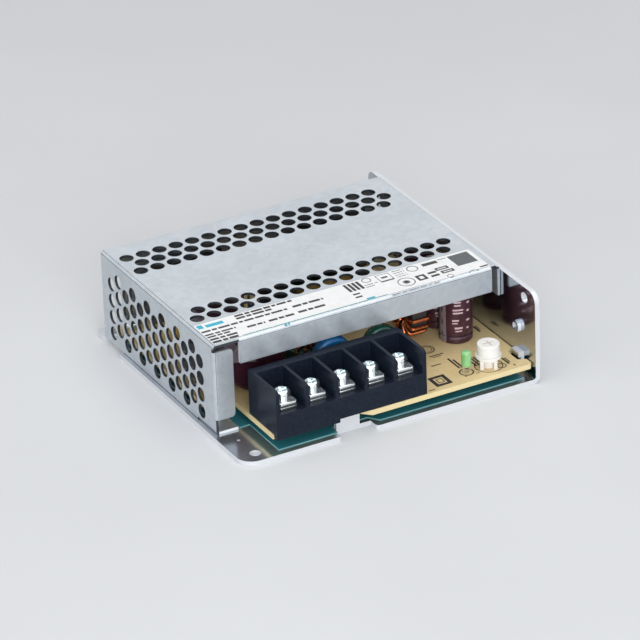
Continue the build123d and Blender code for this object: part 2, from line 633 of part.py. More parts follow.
# Rating label: a thin film on the cover behind the front fold
def make_label():
    front = COVER_FRONT + COVER_BEND
    x0 = COVER_LEFT + COVER_BEND
    x1 = COVER_RIGHT - LABEL_FROM_RIGHT
    face = Pos((x0 + x1) / 2, front + LABEL_DEPTH / 2) * RectangleRounded(x1 - x0, LABEL_DEPTH, LABEL_CORNER_RADIUS)
    return one(plate(face, CASE_HEIGHT, CASE_HEIGHT + LABEL_THICKNESS))


# Circuit board: one laminate, cut out round the cover's foot, the stop tab and the wall lug
def make_board():
    step_y = FRONT + BOARD_FROM_FRONT + BOARD_STEP
    notch_left = TAB_LEFT - BOARD_TAB_GAP
    notch_right = TAB_RIGHT + BOARD_TAB_GAP
    lug_clear = FRONT + LUG_FROM_FRONT - BOARD_LUG_GAP
    lug_end = FRONT + LUG_FROM_FRONT + LUG_WIDTH + BOARD_LUG_GAP
    lug_x = WALL_INSIDE - LUG_REACH - BOARD_LUG_GAP
    slant = 1.5 * BOARD_LUG_GAP
    shape = outline(
        [
            (BOARD_CUT, step_y),
            (notch_right, step_y),
            (notch_right + BOARD_STEP, BOARD_FRONT),
            (BOARD_RIGHT, BOARD_FRONT),
            (BOARD_RIGHT, lug_clear - slant),
            (lug_x, lug_clear),
            (lug_x, lug_end),
            (BOARD_RIGHT, lug_end + slant),
            (BOARD_RIGHT, BOARD_BACK),
            (BOARD_LEFT, BOARD_BACK),
            (BOARD_LEFT, FRONT + BOARD_CUT_DEPTH),
            (BOARD_CUT, FRONT + BOARD_CUT_DEPTH),
        ]
    )
    shape = round_near(shape, [(BOARD_RIGHT, BOARD_FRONT)], BOARD_CORNER_RADIUS)
    shape = round_near(shape, [(BOARD_CUT, FRONT + BOARD_CUT_DEPTH)], BOARD_CUT_RADIUS)
    body = plate(shape, BOARD_BOTTOM, BOARD_TOP)
    notch_back = NOTCH_BACK + CHASSIS_SHEET + BOARD_TAB_GAP
    body -= box(notch_left, notch_right, step_y - 1, notch_back, BOARD_BOTTOM - 1, BOARD_TOP + 1)
    for x, y in standoffs:
        body -= drum(x, y, BOARD_BOTTOM - 1, BOARD_TOP + 1, SCREW_HOLE_RADIUS)
    return one(body)


# Insulation film: a green sheet on the base under the whole board
def make_film():
    left = BOARD_LEFT + FILM_FROM_SIDE
    right = BOARD_RIGHT - 2 * FILM_FROM_SIDE - CHASSIS_BEND + CHASSIS_SHEET
    cut_left = BOARD_CUT + FILM_FROM_SIDE
    front = FRONT + FILM_FROM_FRONT
    notch_left = TAB_LEFT - BOARD_TAB_GAP
    notch_right = NOTCH_LEFT + NOTCH_WIDTH + 1.0
    notch_back = NOTCH_BACK + CHASSIS_SHEET + FILM_GAP
    step_y = FRONT + FILM_STEP_FROM_FRONT
    step_left = COVER_LEFT + FOOT_WIDTH + FILM_GAP
    foot_clear = COVER_FRONT + FOOT_LENGTH + FILM_GAP
    shape = outline(
        [
            (cut_left, front),
            (notch_left, front),
            (notch_left, notch_back),
            (notch_right - 1.0, notch_back),
            (notch_right + 1.5, front),
            (right, front),
            (right, BOARD_BACK),
            (left, BOARD_BACK),
            (left, foot_clear),
            (step_left, foot_clear),
            (step_left, step_y),
            (cut_left, step_y),
        ]
    )
    body = plate(shape, FLOOR, FLOOR + FILM_THICKNESS)
    for x, y in standoffs:
        body -= drum(x, y, FLOOR - 1, FLOOR + 1, STANDOFF_RADIUS + FILM_GAP)
    for x in (-base_boss_x, base_boss_x):
        body -= drum(x, base_boss_y, FLOOR - 1, FLOOR + 1, BASE_BOSS_RADIUS + FILM_GAP)
    return one(body)


# Screws
def cross_recess(z_top, width=DRIVE_WIDTH, reach=1.6, depth=DRIVE_DEPTH):
    """The cross-shaped drive of a screw head whose crown is at z_top."""
    arm = Box(2 * reach, width, depth)
    return Pos(0, 0, z_top - depth / 2) * (arm + Rot(0, 0, 90) * arm)


def pan_screw(head_radius, head_height, shank_radius, shank_length):
    """A cross-drive pan-head screw standing with its head's underside at 0."""
    head = Cylinder(head_radius, head_height, align=(Align.CENTER, Align.CENTER, Align.MIN))
    rim = head.edges().filter_by(GeomType.CIRCLE).sort_by(Axis.Z)[-1]
    head = fillet(rim, head_height * 0.45)
    shank = Cylinder(shank_radius, shank_length, align=(Align.CENTER, Align.CENTER, Align.MAX))
    return head + shank - cross_recess(head_height)


def make_board_screws():
    screw = pan_screw(PAN_HEAD_RADIUS, PAN_HEAD_HEIGHT, SCREW_RADIUS, BOARD_THICKNESS + BOARD_RISE)
    return group([Pos(x, y, BOARD_TOP) * screw for x, y in standoffs])


def make_cover_screws():
    pan = pan_screw(PAN_HEAD_RADIUS, PAN_HEAD_HEIGHT, SCREW_RADIUS, COVER_SHEET + CHASSIS_SHEET)
    screws = [Pos(foot_screw_x, foot_screw_y, FLOOR + COVER_SHEET) * pan]
    for y in wall_screw_ys:
        head = Cone(SCREW_RADIUS, FLAT_HEAD_RADIUS, CHASSIS_SHEET)
        shank_length = 2 * COVER_SHEET + SLIDING_GAP
        shank = Pos(0, 0, -CHASSIS_SHEET / 2 - shank_length / 2) * Cylinder(SCREW_RADIUS, shank_length)
        screw = head + shank - cross_recess(CHASSIS_SHEET / 2)
        screws.append(Pos(RIGHT - CHASSIS_SHEET / 2, y, wall_screw_z) * Rot(0, 90, 0) * screw)
    return group(screws)


# Terminal block: a moulded barrier strip with one open chamber for each terminal
block_top = BOARD_TOP + BLOCK_HEIGHT
deck = BOARD_TOP + BLOCK_DECK_HEIGHT
chamber_width = TERMINAL_PITCH - DIVIDER
chamber_centres = [
    block_left + BLOCK_END_WALL + chamber_width / 2 + TERMINAL_PITCH * i for i in range(TERMINALS)
]
terminal_y = block_front + TERMINAL_SCREW_FROM_FRONT
clamp_bottom = deck + CONTACT_THICKNESS
clamp_top = clamp_bottom + CLAMP_LIP_DROP + CLAMP_THICKNESS
inner_back = block_back - BLOCK_BACK_WALL
inner_front = block_front + BLOCK_FRONT_WALL
front_wall_top = BOARD_TOP + BLOCK_FRONT_WALL_HEIGHT


def make_terminal_block():
    side = outline(
        [(block_front, BOARD_TOP), (block_back, BOARD_TOP), (block_back, block_top), (block_front, block_top)]
    )
    side = round_near(side, [(block_front, block_top)], BLOCK_CORNER_RADIUS)
    body = along_x(side, block_left, block_right)
    for x in chamber_centres:
        x0 = x - chamber_width / 2
        x1 = x + chamber_width / 2
        body -= box(x0, x1, block_front - 1, inner_back, front_wall_top, block_top + 1)
        body -= box(x0, x1, inner_front, inner_back, deck, block_top + 1)
        body -= drum(x, terminal_y, deck - WELL_DEPTH, deck + 1, TERMINAL_SCREW_RADIUS + 2 * TERMINAL_SCREW_GAP)
    # skirt that reaches down over the board's front edge, left of the chassis notch
    skirt_back = NOTCH_BACK - SLIDING_GAP
    skirt_low = BOARD_TOP - BLOCK_SKIRT_DROP
    skirt_right = NOTCH_LEFT + BLOCK_SKIRT_PAST_NOTCH
    body += box(block_left, skirt_right, block_front, skirt_back, skirt_low, BOARD_TOP)
    return one(body)


def make_contact(x):
    """A fixed contact strip: a flat plate on the deck, tapped for the clamp screw."""
    front = inner_front + CONTACT_FROM_WALL
    body = box(x - CONTACT_WIDTH / 2, x + CONTACT_WIDTH / 2, front, inner_back, deck, clamp_bottom)
    body -= drum(x, terminal_y, deck - 1, clamp_bottom + 1, TERMINAL_SCREW_RADIUS + TERMINAL_SCREW_GAP / 3)
    return one(body)


def make_clamp(x):
    """A square clamp plate under the screw head, with its front and back edges turned down."""
    half = CLAMP_WIDTH / 2
    front = inner_front + CONTACT_FROM_WALL
    back = front + CLAMP_LENGTH
    body = box(x - half, x + half, front, back, clamp_bottom, clamp_top)
    body = fillet(body.edges().filter_by(Axis.Z), CLAMP_CORNER_RADIUS)
    plate_low = clamp_top - CLAMP_THICKNESS
    body -= box(x - half - 1, x + half + 1, front + CLAMP_THICKNESS, back - CLAMP_THICKNESS, 0, plate_low)
    body -= drum(x, terminal_y, clamp_bottom - 1, clamp_top + 1, TERMINAL_SCREW_RADIUS + TERMINAL_SCREW_GAP)
    return one(body)


def make_terminal_screws():
    length = clamp_top - deck + 0.75 * WELL_DEPTH
    screw = pan_screw(TERMINAL_HEAD_RADIUS, TERMINAL_HEAD_HEIGHT, TERMINAL_SCREW_RADIUS, length)
    return group([Pos(x, terminal_y, clamp_top) * screw for x in chamber_centres])


# Electrolytic capacitors
def can(radius, height):
    """An upright sleeved can with a crimp groove above its base and a rounded top edge."""
    groove_low = 1.6
    groove_high = 2.6
    half = outline(
        [
            (0, 0),
            (radius - 0.4, 0),
            (radius, 0.4),
            (radius, groove_low),
            (radius - CAN_GROOVE_DEPTH, (groove_low + groove_high) / 2),
            (radius, groove_high),
            (radius, height - 0.5),
            (radius - 0.5, height),
            (radius - 1.2, height),
            (radius - 1.2, height - 0.25),
            (0, height - 0.25),
        ]
    )
    return revolve(Plane.XZ * half, Axis.Z)


def make_bulk_capacitor():
    """The large mains capacitor lies on its side on the board and points to the front."""
    body = can(BULK_CAP_RADIUS, BULK_CAP_LENGTH)
    turned = Pos(bulk_x, bulk_y + BULK_CAP_LENGTH, BOARD_TOP + BULK_CAP_RADIUS) * Rot(90, 0, 0) * body
    return one(turned)


def make_output_capacitor(spot):
    return one(Pos(spot[0], spot[1], BOARD_TOP) * can(OUTPUT_CAP_RADIUS, OUTPUT_CAP_HEIGHT))


# Disc parts that stand on two leads
def disc_part(x, y, radius, lead_gap):
    """A dipped disc facing the front, with two straight leads to the board."""
    centre_z = BOARD_TOP + DISC_STAND + radius
    body = rod_y(x, y - DISC_THICKNESS / 2, y + DISC_THICKNESS / 2, centre_z, radius)
    body = fillet(body.edges().filter_by(GeomType.CIRCLE), DISC_THICKNESS * 0.4)
    for side in (-1, 1):
        body += drum(x + side * lead_gap / 2, y, BOARD_TOP, centre_z - radius * 0.5, LEAD_RADIUS)
    return one(body)


# Fuse: an upright round cartridge
def make_fuse():
    body = drum(fuse_x, fuse_y, BOARD_TOP, BOARD_TOP + FUSE_HEIGHT, FUSE_RADIUS)
    body = fillet(body.edges().filter_by(GeomType.CIRCLE).sort_by(Axis.Z)[-1], 0.8)
    return one(body)


# Ring chokes
def ring(radius, bore, width):
    """A ring core lying flat on 0, with rounded edges."""
    half = Pos((radius + bore) / 2, width / 2) * RectangleRounded(radius - bore, width, 0.6)
    return revolve(Plane.XZ * half, Axis.Z)


def ring_winding(radius, bore, width, start, sweep_angle):
    """A layer of wire round part of a ring core."""
    build = WINDING_BUILD
    outer = Pos((radius + bore) / 2, width / 2) * RectangleRounded(
        radius - bore + 2 * build, width + 2 * build, 0.6 + build
    )
    inner = Pos((radius + bore) / 2, width / 2) * RectangleRounded(radius - bore, width, 0.6)
    section = Plane.XZ * (outer - inner)
    return Rot(0, 0, start) * revolve(section, Axis.Z, sweep_angle)


def place_filter(shape):
    return Pos(filter_x, filter_y, BOARD_TOP + WINDING_BUILD) * shape


def make_filter_core():
    return one(place_filter(ring(FILTER_RING_RADIUS, FILTER_RING_BORE, FILTER_RING_HEIGHT)))


def make_filter_winding(start):
    layer = ring_winding(FILTER_RING_RADIUS, FILTER_RING_BORE, FILTER_RING_HEIGHT, start, FILTER_WINDING_SWEEP)
    return one(place_filter(layer))


def place_output_choke(shape):
    height = BOARD_TOP + OUTPUT_RING_RADIUS + WINDING_BUILD
    return Pos(choke_x - OUTPUT_RING_WIDTH / 2, choke_y, height) * Rot(0, 90, 0) * shape


def make_output_choke_core():
    return one(place_output_choke(ring(OUTPUT_RING_RADIUS, OUTPUT_RING_BORE, OUTPUT_RING_WIDTH)))


def make_output_choke_winding():
    start = OUTPUT_WINDING_START
    sweep_angle = OUTPUT_WINDING_SWEEP
    layer = ring_winding(OUTPUT_RING_RADIUS, OUTPUT_RING_BORE, OUTPUT_RING_WIDTH, start, sweep_angle)
    return one(place_output_choke(layer))


# Transformer: a ferrite frame round a taped coil on a bobbin
core_low = BOARD_TOP + BOBBIN_FOOT
core_high = CASE_HEIGHT - COVER_SHEET - CORE_BELOW_COVER
window_low = core_low + CORE_LEG
window_high = core_high - CORE_LEG
tube_half = CENTRE_LEG / 2 + FIT_GAP + BOBBIN_WALL
flange_half = CENTRE_LEG / 2 + window_width - FIT_GAP
coil_half = flange_half - COIL_INSET


def centred_box(half_x, half_y, z0, z1):
    """A block centred on the transformer's upright axis."""
    x = transformer_x
    y = transformer_y
    return box(x - half_x, x + half_x, y - half_y, y + half_y, z0, z1)


def make_transformer_core():
    body = centred_box(CORE_LENGTH / 2, CORE_DEPTH / 2, core_low, core_high)
    for side in (-1, 1):
        near = transformer_x + side * CENTRE_LEG / 2
        far = near + side * window_width
        body -= box(
            min(near, far),
            max(near, far),
            transformer_y - CORE_DEPTH,
            transformer_y + CORE_DEPTH,
            window_low,
            window_high,
        )
    return one(body)


def make_transformer_bobbin():
    low = window_low + FIT_GAP
    high = window_high - FIT_GAP
    body = centred_box(tube_half, CORE_DEPTH / 2 + FIT_GAP + BOBBIN_WALL, low, high)
    body += centred_box(flange_half, bobbin_half_depth, low, low + BOBBIN_WALL)
    body += centred_box(flange_half, bobbin_half_depth, high - BOBBIN_WALL, high)
    body -= centred_box(CENTRE_LEG / 2 + FIT_GAP, CORE_DEPTH / 2 + FIT_GAP, low - 1, high + 1)
    for side in (-1, 1):
        inner = transformer_y + side * (CORE_DEPTH / 2 + FIT_GAP)
        outer = transformer_y + side * bobbin_half_depth
        body += box(
            transformer_x - flange_half,
            transformer_x + flange_half,
            min(inner, outer),
            max(inner, outer),
            BOARD_TOP,
            low + BOBBIN_WALL,
        )
    return one(body)


def make_transformer_coil():
    low = window_low + FIT_GAP + BOBBIN_WALL
    high = window_high - FIT_GAP - BOBBIN_WALL
    tube_depth = CORE_DEPTH / 2 + FIT_GAP + BOBBIN_WALL
    body = centred_box(coil_half, bobbin_half_depth - COIL_INSET, low, high)
    body = fillet(body.edges().filter_by(Axis.Z), 2.0)
    body -= centred_box(tube_half, tube_depth, low - 1, high + 1)
    return one(body)


# Box-shaped film capacitor, bridge rectifier, and the transistors on their heat sinks
def make_x_capacitor():
    right = bulk_right + X_CAP_PAST_BULK_CAP
    high = BOARD_TOP + X_CAP_HEIGHT
    body = box(right - X_CAP_LENGTH, right, x_cap_y, x_cap_y + X_CAP_WIDTH, BOARD_TOP, high)
    return one(fillet(body.edges().filter_by(Axis.Z), 0.6))


def make_bridge_rectifier():
    """A flat four-lead bridge that stands beside the left row of vents."""
    x = BOARD_LEFT + BRIDGE_FROM_LEFT
    y = bulk_y + BRIDGE_BEHIND_CAP_FRONT
    z = BOARD_TOP + BRIDGE_STAND
    body = box(x, x + BRIDGE_THICKNESS, y, y + BRIDGE_LENGTH, z, z + BRIDGE_HEIGHT)
    body = chamfer(body.edges().filter_by(Axis.X).sort_by(Axis.Z)[-1:], 1.5)
    for i in range(4):
        lead_y = y + BRIDGE_LENGTH * (i + 0.5) / 4
        body += drum(x + BRIDGE_THICKNESS / 2, lead_y, BOARD_TOP, z + 0.5, LEAD_RADIUS)
    return one(body)


def make_heat_sink(x, y):
    """An upright aluminium plate that stands on the board, with its top corners rounded."""
    high = BOARD_TOP + HEAT_SINK_HEIGHT
    body = box(x, x + HEAT_SINK_LENGTH, y, y + HEAT_SINK_THICKNESS, BOARD_TOP, high)
    return one(fillet(body.edges().filter_by(Axis.Y).sort_by(Axis.Z)[-2:], HEAT_SINK_CORNER_RADIUS))


def make_package(x, y):
    """A three-lead power package that lies flat on the front of its heat sink."""
    low = BOARD_TOP + PACKAGE_STAND
    split = low + PACKAGE_HEIGHT * 0.6
    half = PACKAGE_WIDTH / 2
    body = box(x - half, x + half, y - PACKAGE_THICKNESS, y, low, split)
    body += box(x - half, x + half, y - PACKAGE_TAB, y, split, low + PACKAGE_HEIGHT)
    for i in (-1, 0, 1):
        body += drum(x + LEAD_PITCH * i, y - PACKAGE_THICKNESS / 2, BOARD_TOP, low + 0.5, LEAD_RADIUS)
    return one(body)


# Small parts
def make_small_box(x, y, length, width, height):
    body = box(x, x + length, y, y + width, BOARD_TOP, BOARD_TOP + height)
    return one(chamfer(body.edges().sort_by(Axis.Z)[-4:], 0.3))


def make_resistor(x, y):
    """An upright axial resistor with one lead bent back down to the board."""
    low = BOARD_TOP + 0.8
    body = drum(x, y, low, low + RESISTOR_LENGTH, RESISTOR_RADIUS)
    body = fillet(body.edges().filter_by(GeomType.CIRCLE), 0.5)
    top = low + RESISTOR_LENGTH + 1.2
    far = x + RESISTOR_LEAD_GAP
    body += drum(x, y, BOARD_TOP, top, LEAD_RADIUS)
    body += rod_x(x, far, y, top, LEAD_RADIUS)
    body += drum(far, y, BOARD_TOP, top, LEAD_RADIUS)
    return one(body)


# Status light: a 3 mm lamp held off the board on its two legs
led_x = BOARD_RIGHT - LED_FROM_RIGHT
led_y = FRONT + LED_FROM_FRONT


def make_status_led():
    low = BOARD_TOP + LED_STAND
    high = low + LED_HEIGHT
    half = outline([(0, low), (LED_RADIUS, low), (LED_RADIUS, high), (0, high)])
    half = round_near(half, [(LED_RADIUS, high)], LED_DOME_RADIUS)
    body = revolve(Plane.XZ * half, Axis.Z)
    leg = LED_LEG_WIDTH / 2
    for x in (-LED_LEG_GAP / 2, LED_LEG_GAP / 2):
        body += box(x - leg, x + leg, -leg, leg, BOARD_TOP, low + leg)
    return one(Pos(led_x, led_y) * body)


# Output trimmer: a round slotted knob that turns in a white body on four feet, set askew on the board
trimmer_x = BOARD_RIGHT - TRIMMER_FROM_RIGHT
trimmer_y = FRONT + TRIMMER_FROM_FRONT
collar_top = BOARD_TOP + TRIMMER_BODY_HEIGHT + TRIMMER_COLLAR
shaft_low = BOARD_TOP + TRIMMER_COLLAR


def make_trimmer_body():
    half = TRIMMER_BODY_WIDTH / 2
    collar_low = BOARD_TOP + TRIMMER_BODY_HEIGHT
    body = box(-half, half, -half, half, BOARD_TOP, collar_low)
    window = half - TRIMMER_FOOT_WIDTH
    for turn in (0, 90):
        gap = box(-window, window, -half - 1, half + 1, BOARD_TOP - 1, collar_low - TRIMMER_COLLAR)
        body -= Rot(0, 0, turn) * gap
    body = Rot(0, 0, TRIMMER_BODY_TURN) * body
    body += drum(0, 0, BOARD_TOP, collar_low, TRIMMER_BARREL_RADIUS)
    body += drum(0, 0, collar_low, collar_top, TRIMMER_COLLAR_RADIUS)
    body -= drum(0, 0, shaft_low - TRIMMER_RUNNING_GAP, collar_top + 1, TRIMMER_SHAFT_RADIUS + TRIMMER_RUNNING_GAP)
    return one(Pos(trimmer_x, trimmer_y) * body)


def make_trimmer_rotor():
    low = collar_top + TRIMMER_RUNNING_GAP
    high = low + TRIMMER_CAP_HEIGHT
    body = drum(0, 0, low, high, TRIMMER_CAP_RADIUS)
    body = fillet(body.edges().filter_by(GeomType.CIRCLE).sort_by(Axis.Z)[-1], 0.35)
    body += drum(0, 0, shaft_low, low + 0.5, TRIMMER_SHAFT_RADIUS)
    body -= cross_recess(high, TRIMMER_SLOT, 1.7, 0.8)
    return one(Pos(trimmer_x, trimmer_y) * body)


def all_pieces():
    """Every node's name and shape."""
    pieces = {
        "chassis": make_chassis(),
        "cover": make_cover(),
        "rating_label": make_label(),
        "circuit_board": make_board(),
        "insulation_film": make_film(),
        "board_screws": make_board_screws(),
        "cover_screws": make_cover_screws(),
        "terminal_block": make_terminal_block(),
        "terminal_screws": make_terminal_screws(),
        "bulk_capacitor": make_bulk_capacitor(),
        "varistor": disc_part(varistor_x, disc_y, VARISTOR_RADIUS, VARISTOR_LEAD_GAP),
        "inrush_thermistor": disc_part(thermistor_x, disc_y, THERMISTOR_RADIUS, SMALL_LEAD_GAP),
        "y_capacitor": disc_part(y_cap_x, y_cap_y, Y_CAP_RADIUS, SMALL_LEAD_GAP),
        "fuse": make_fuse(),
        "filter_choke_core": make_filter_core(),
        "filter_choke_winding_1": make_filter_winding(FILTER_WINDING_START),
        "filter_choke_winding_2": make_filter_winding(FILTER_WINDING_START + 180),
        "x_capacitor": make_x_capacitor(),
        "bridge_rectifier": make_bridge_rectifier(),
        "transformer_core": make_transformer_core(),
        "transformer_bobbin": make_transformer_bobbin(),
        "transformer_coil": make_transformer_coil(),
        "primary_heat_sink": make_heat_sink(left_sink_x, sink_y),
        "switching_transistor": make_package(left_sink_x + HEAT_SINK_LENGTH / 2, sink_y),
        "output_heat_sink": make_heat_sink(right_sink_x, sink_y),
        "output_rectifier": make_package(right_sink_x + HEAT_SINK_LENGTH / 2, sink_y),
        "output_choke_core": make_output_choke_core(),
        "output_choke_winding": make_output_choke_winding(),
        "optocoupler": make_small_box(chips_x, opto_y, OPTO_LENGTH, OPTO_WIDTH, OPTO_HEIGHT),
        "controller_chip": make_small_box(chips_x, chip_y, CHIP_LENGTH, OPTO_WIDTH, OPTO_HEIGHT),
        "snubber_resistor": make_resistor(y_cap_x, resistor_y),
        "status_led": make_status_led(),
        "trimmer_body": make_trimmer_body(),
        "trimmer_rotor": make_trimmer_rotor(),
    }
    for i, spot in enumerate(output_cap_spots):
        pieces[f"output_capacitor_{i + 1}"] = make_output_capacitor(spot)
    for i, x in enumerate(chamber_centres):
        pieces[f"terminal_contact_{i + 1}"] = make_contact(x)
        pieces[f"terminal_clamp_{i + 1}"] = make_clamp(x)
    return pieces


def main():
    os.makedirs("parts", exist_ok=True)
    for name, shape in all_pieces().items():
        export_step(shape, f"parts/{name}.step")


if __name__ == "__main__":
    main()
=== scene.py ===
import math

import bmesh
import bpy
from mathutils import Matrix, Vector


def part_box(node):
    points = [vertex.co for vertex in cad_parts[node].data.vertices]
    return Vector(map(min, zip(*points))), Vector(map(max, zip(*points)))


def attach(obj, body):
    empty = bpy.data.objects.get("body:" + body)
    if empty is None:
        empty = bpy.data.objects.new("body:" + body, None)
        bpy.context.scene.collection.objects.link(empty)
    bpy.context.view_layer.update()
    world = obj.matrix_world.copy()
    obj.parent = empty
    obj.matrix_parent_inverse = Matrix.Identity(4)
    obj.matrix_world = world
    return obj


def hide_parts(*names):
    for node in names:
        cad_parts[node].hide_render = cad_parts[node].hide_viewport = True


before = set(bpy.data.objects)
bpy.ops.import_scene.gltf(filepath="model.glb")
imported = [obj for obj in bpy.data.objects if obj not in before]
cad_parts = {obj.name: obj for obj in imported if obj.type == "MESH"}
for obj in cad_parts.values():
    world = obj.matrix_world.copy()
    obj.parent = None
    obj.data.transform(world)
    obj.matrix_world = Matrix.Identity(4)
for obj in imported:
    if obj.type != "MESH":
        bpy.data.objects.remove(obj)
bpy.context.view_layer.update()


# Chassis: one sheet of bright aluminium, bent into the base and the right-hand wall.
# Its faces keep a half mirror from the rolling mill, the sheared edges are paler and rougher, and the
# lug's top is painted pale as a painted reflection.
MM = 0.001


def colour(red, green, blue):
    """A screen colour from 0 to 255 as the shader's linear colour."""
    parts = [value / 255 for value in (red, green, blue)]
    linear = [p / 12.92 if p <= 0.04045 else ((p + 0.055) / 1.055) ** 2.4 for p in parts]
    return (*linear, 1.0)


def new_finish(name, roughness=0.5, metallic=0.0, coat=0.0):
    """An empty node material: its tree and its shader."""
    material = bpy.data.materials.new(name)
    material.use_nodes = True
    tree = material.node_tree
    shader = tree.nodes["Principled BSDF"]
    shader.inputs["Roughness"].default_value = roughness
    shader.inputs["Metallic"].default_value = metallic
    shader.inputs["Coat Weight"].default_value = coat
    return material, tree, shader


def plug(tree, value, socket):
    """Sets a socket to a number, or joins it to another node's output."""
    if isinstance(value, (int, float)):
        socket.default_value = value
    else:
        tree.links.new(value, socket)


def calc(tree, operation, first, second=0.0):
    """One step of arithmetic on numbers or node outputs."""
    node = tree.nodes.new("ShaderNodeMath")
    node.operation = operation
    plug(tree, first, node.inputs[0])
    plug(tree, second, node.inputs[1])
    return node.outputs[0]


def above(tree, value, limit):
    """1 where the value is over the limit."""
    return calc(tree, "GREATER_THAN", value, limit)


def below(tree, value, limit):
    """1 where the value is under the limit."""
    return calc(tree, "LESS_THAN", value, limit)


def near(tree, value, middle, reach):
    """1 where the value lies within reach of the middle."""
    return below(tree, size_of(tree, calc(tree, "SUBTRACT", value, middle)), reach)


def size_of(tree, value):
    """The value without its sign."""
    return calc(tree, "ABSOLUTE", value)


def both(tree, first, second):
    """1 where two masks meet."""
    return calc(tree, "MULTIPLY", first, second)


def either(tree, first, second):
    """The larger of two masks or amounts."""
    return calc(tree, "MAXIMUM", first, second)


def outside(tree, mask):
    """1 where the mask is 0."""
    return calc(tree, "SUBTRACT", 1.0, mask)


def place_of(tree, stretch=(1, 1, 1), offset=(0, 0, 0)):
    """The point on the piece, in metres, moved by offset and then stretched."""
    where = tree.nodes.new("ShaderNodeTexCoord")
    shift = tree.nodes.new("ShaderNodeMapping")
    shift.inputs["Location"].default_value = [o * s for o, s in zip(offset, stretch)]
    shift.inputs["Scale"].default_value = stretch
    tree.links.new(where.outputs["Object"], shift.inputs["Vector"])
    return shift.outputs[0]


def parts_of(tree, vector):
    """The three numbers of a vector."""
    split = tree.nodes.new("ShaderNodeSeparateXYZ")
    tree.links.new(vector, split.inputs[0])
    return split.outputs


def facing(tree):
    """The surface normal's X, Y and Z."""
    geometry = tree.nodes.new("ShaderNodeNewGeometry")
    return parts_of(tree, geometry.outputs["Normal"])


def noise(tree, place, scale, detail=3.0):
    """A soft pattern from 0 to 1."""
    node = tree.nodes.new("ShaderNodeTexNoise")
    node.inputs["Scale"].default_value = scale
    node.inputs["Detail"].default_value = detail
    tree.links.new(place, node.inputs["Vector"])
    return node.outputs["Fac"]


def ramp(tree, value, low, high):
    """Runs from the low colour to the high one as the value goes from 0.3 to 0.7."""
    node = tree.nodes.new("ShaderNodeValToRGB")
    first, last = node.color_ramp.elements
    first.position, first.color = 0.3, low
    last.position, last.color = 0.7, high
    tree.links.new(value, node.inputs[0])
    return node.outputs[0]


def blend(tree, share, under, over):
    """Lays one colour over another where the share is 1."""
    node = tree.nodes.new("ShaderNodeMix")
    node.data_type = "RGBA"
    tree.links.new(share, node.inputs[0])
    for value, socket in ((under, node.inputs[6]), (over, node.inputs[7])):
        if isinstance(value, tuple):
            socket.default_value = value
        else:
            tree.links.new(value, socket)
    return node.outputs[2]


def swing(tree, value, low, high):
    """Spreads a value from 0 to 1 between two numbers."""
    node = tree.nodes.new("ShaderNodeMapRange")
    node.inputs["To Min"].default_value = low
    node.inputs["To Max"].default_value = high
    tree.links.new(value, node.inputs["Value"])
    return node.outputs[0]


def relief(tree, shader, height, depth):
    """Raises the surface by up to depth where height is 1."""
    node = tree.nodes.new("ShaderNodeBump")
    node.inputs["Distance"].default_value = depth
    tree.links.new(height, node.inputs["Height"])
    tree.links.new(node.outputs[0], shader.inputs["Normal"])


def dress(material, *nodes):
    """Gives CAD nodes their finish."""
    for node in nodes:
        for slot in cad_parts[node].material_slots:
            slot.material = material


def chassis_finish():
    """Mill-bright faces, cut edges, and a painted reflection on the lug's top, all found by where they
    lie and face.
    """
    material, tree, shader = new_finish("bright_sheet")
    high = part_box("chassis")[1]
    sheet = 1.5 * MM
    wall_foot = high.x - 4.5 * MM
    wall_head = high.z - 3.8 * MM
    lug_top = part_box("circuit_board")[1].z + sheet
    square_on = 0.7
    face_x, face_y, face_z = facing(tree)
    x, _, z = parts_of(tree, place_of(tree))
    upward = above(tree, face_z, square_on)
    ends = above(tree, size_of(tree, face_y), square_on)
    sides = both(tree, above(tree, size_of(tree, face_x), square_on), below(tree, x, wall_foot))
    wall_top = both(tree, upward, above(tree, z, wall_head))
    # The lug's top is painted pale and rough like a cut edge, as a painted reflection of the wall
    # beside it.
    lug_reflection = both(tree, upward, near(tree, z, lug_top, 0.5 * MM))
    edge = either(tree, either(tree, ends, lug_reflection), either(tree, sides, wall_top))
    base = both(tree, below(tree, x, wall_foot), outside(tree, edge))

    cloud = noise(tree, place_of(tree), 60)
    face = ramp(tree, cloud, colour(172, 177, 186), colour(200, 205, 212))
    # The cut edges take this pale colour, and the lug's top takes it as a painted reflection.
    pale_cut_and_reflection = colour(216, 219, 224)
    tree.links.new(blend(tree, edge, face, pale_cut_and_reflection), shader.inputs["Base Color"])
    rolling_lines = (12, 900, 900)
    rolled = noise(tree, place_of(tree, rolling_lines), 1.0)
    rougher = either(tree, calc(tree, "MULTIPLY", edge, 0.32), calc(tree, "MULTIPLY", base, 0.04))
    rough = calc(tree, "ADD", swing(tree, rolled, 0.09, 0.16), rougher)
    tree.links.new(rough, shader.inputs["Roughness"])
    duller = either(tree, calc(tree, "MULTIPLY", edge, 0.75), calc(tree, "MULTIPLY", base, 0.14))
    tree.links.new(outside(tree, duller), shader.inputs["Metallic"])
    relief(tree, shader, rolled, 0.004 * MM)
    return material


dress(chassis_finish(), "chassis")


# Insulation film: a sheet of dark green polyester laid on the base under the board.
# It is glossy, and its cut edge is painted pale as a painted highlight, a thin line.
def film_finish():
    """Clouded green with a painted highlight on the cut edge."""
    material, tree, shader = new_finish("green_film", 0.16, coat=0.3)
    edge = below(tree, size_of(tree, facing(tree)[2]), 0.5)
    cloud = noise(tree, place_of(tree), 45)
    sheet = ramp(tree, cloud, colour(50, 120, 134), colour(62, 136, 150))
    # The cut edge is painted pale as a painted highlight.
    film_edge_highlight = colour(104, 160, 160)
    tree.links.new(blend(tree, edge, sheet, film_edge_highlight), shader.inputs["Base Color"])
    relief(tree, shader, cloud, 0.05 * MM)
    return material


dress(film_finish(), "insulation_film")


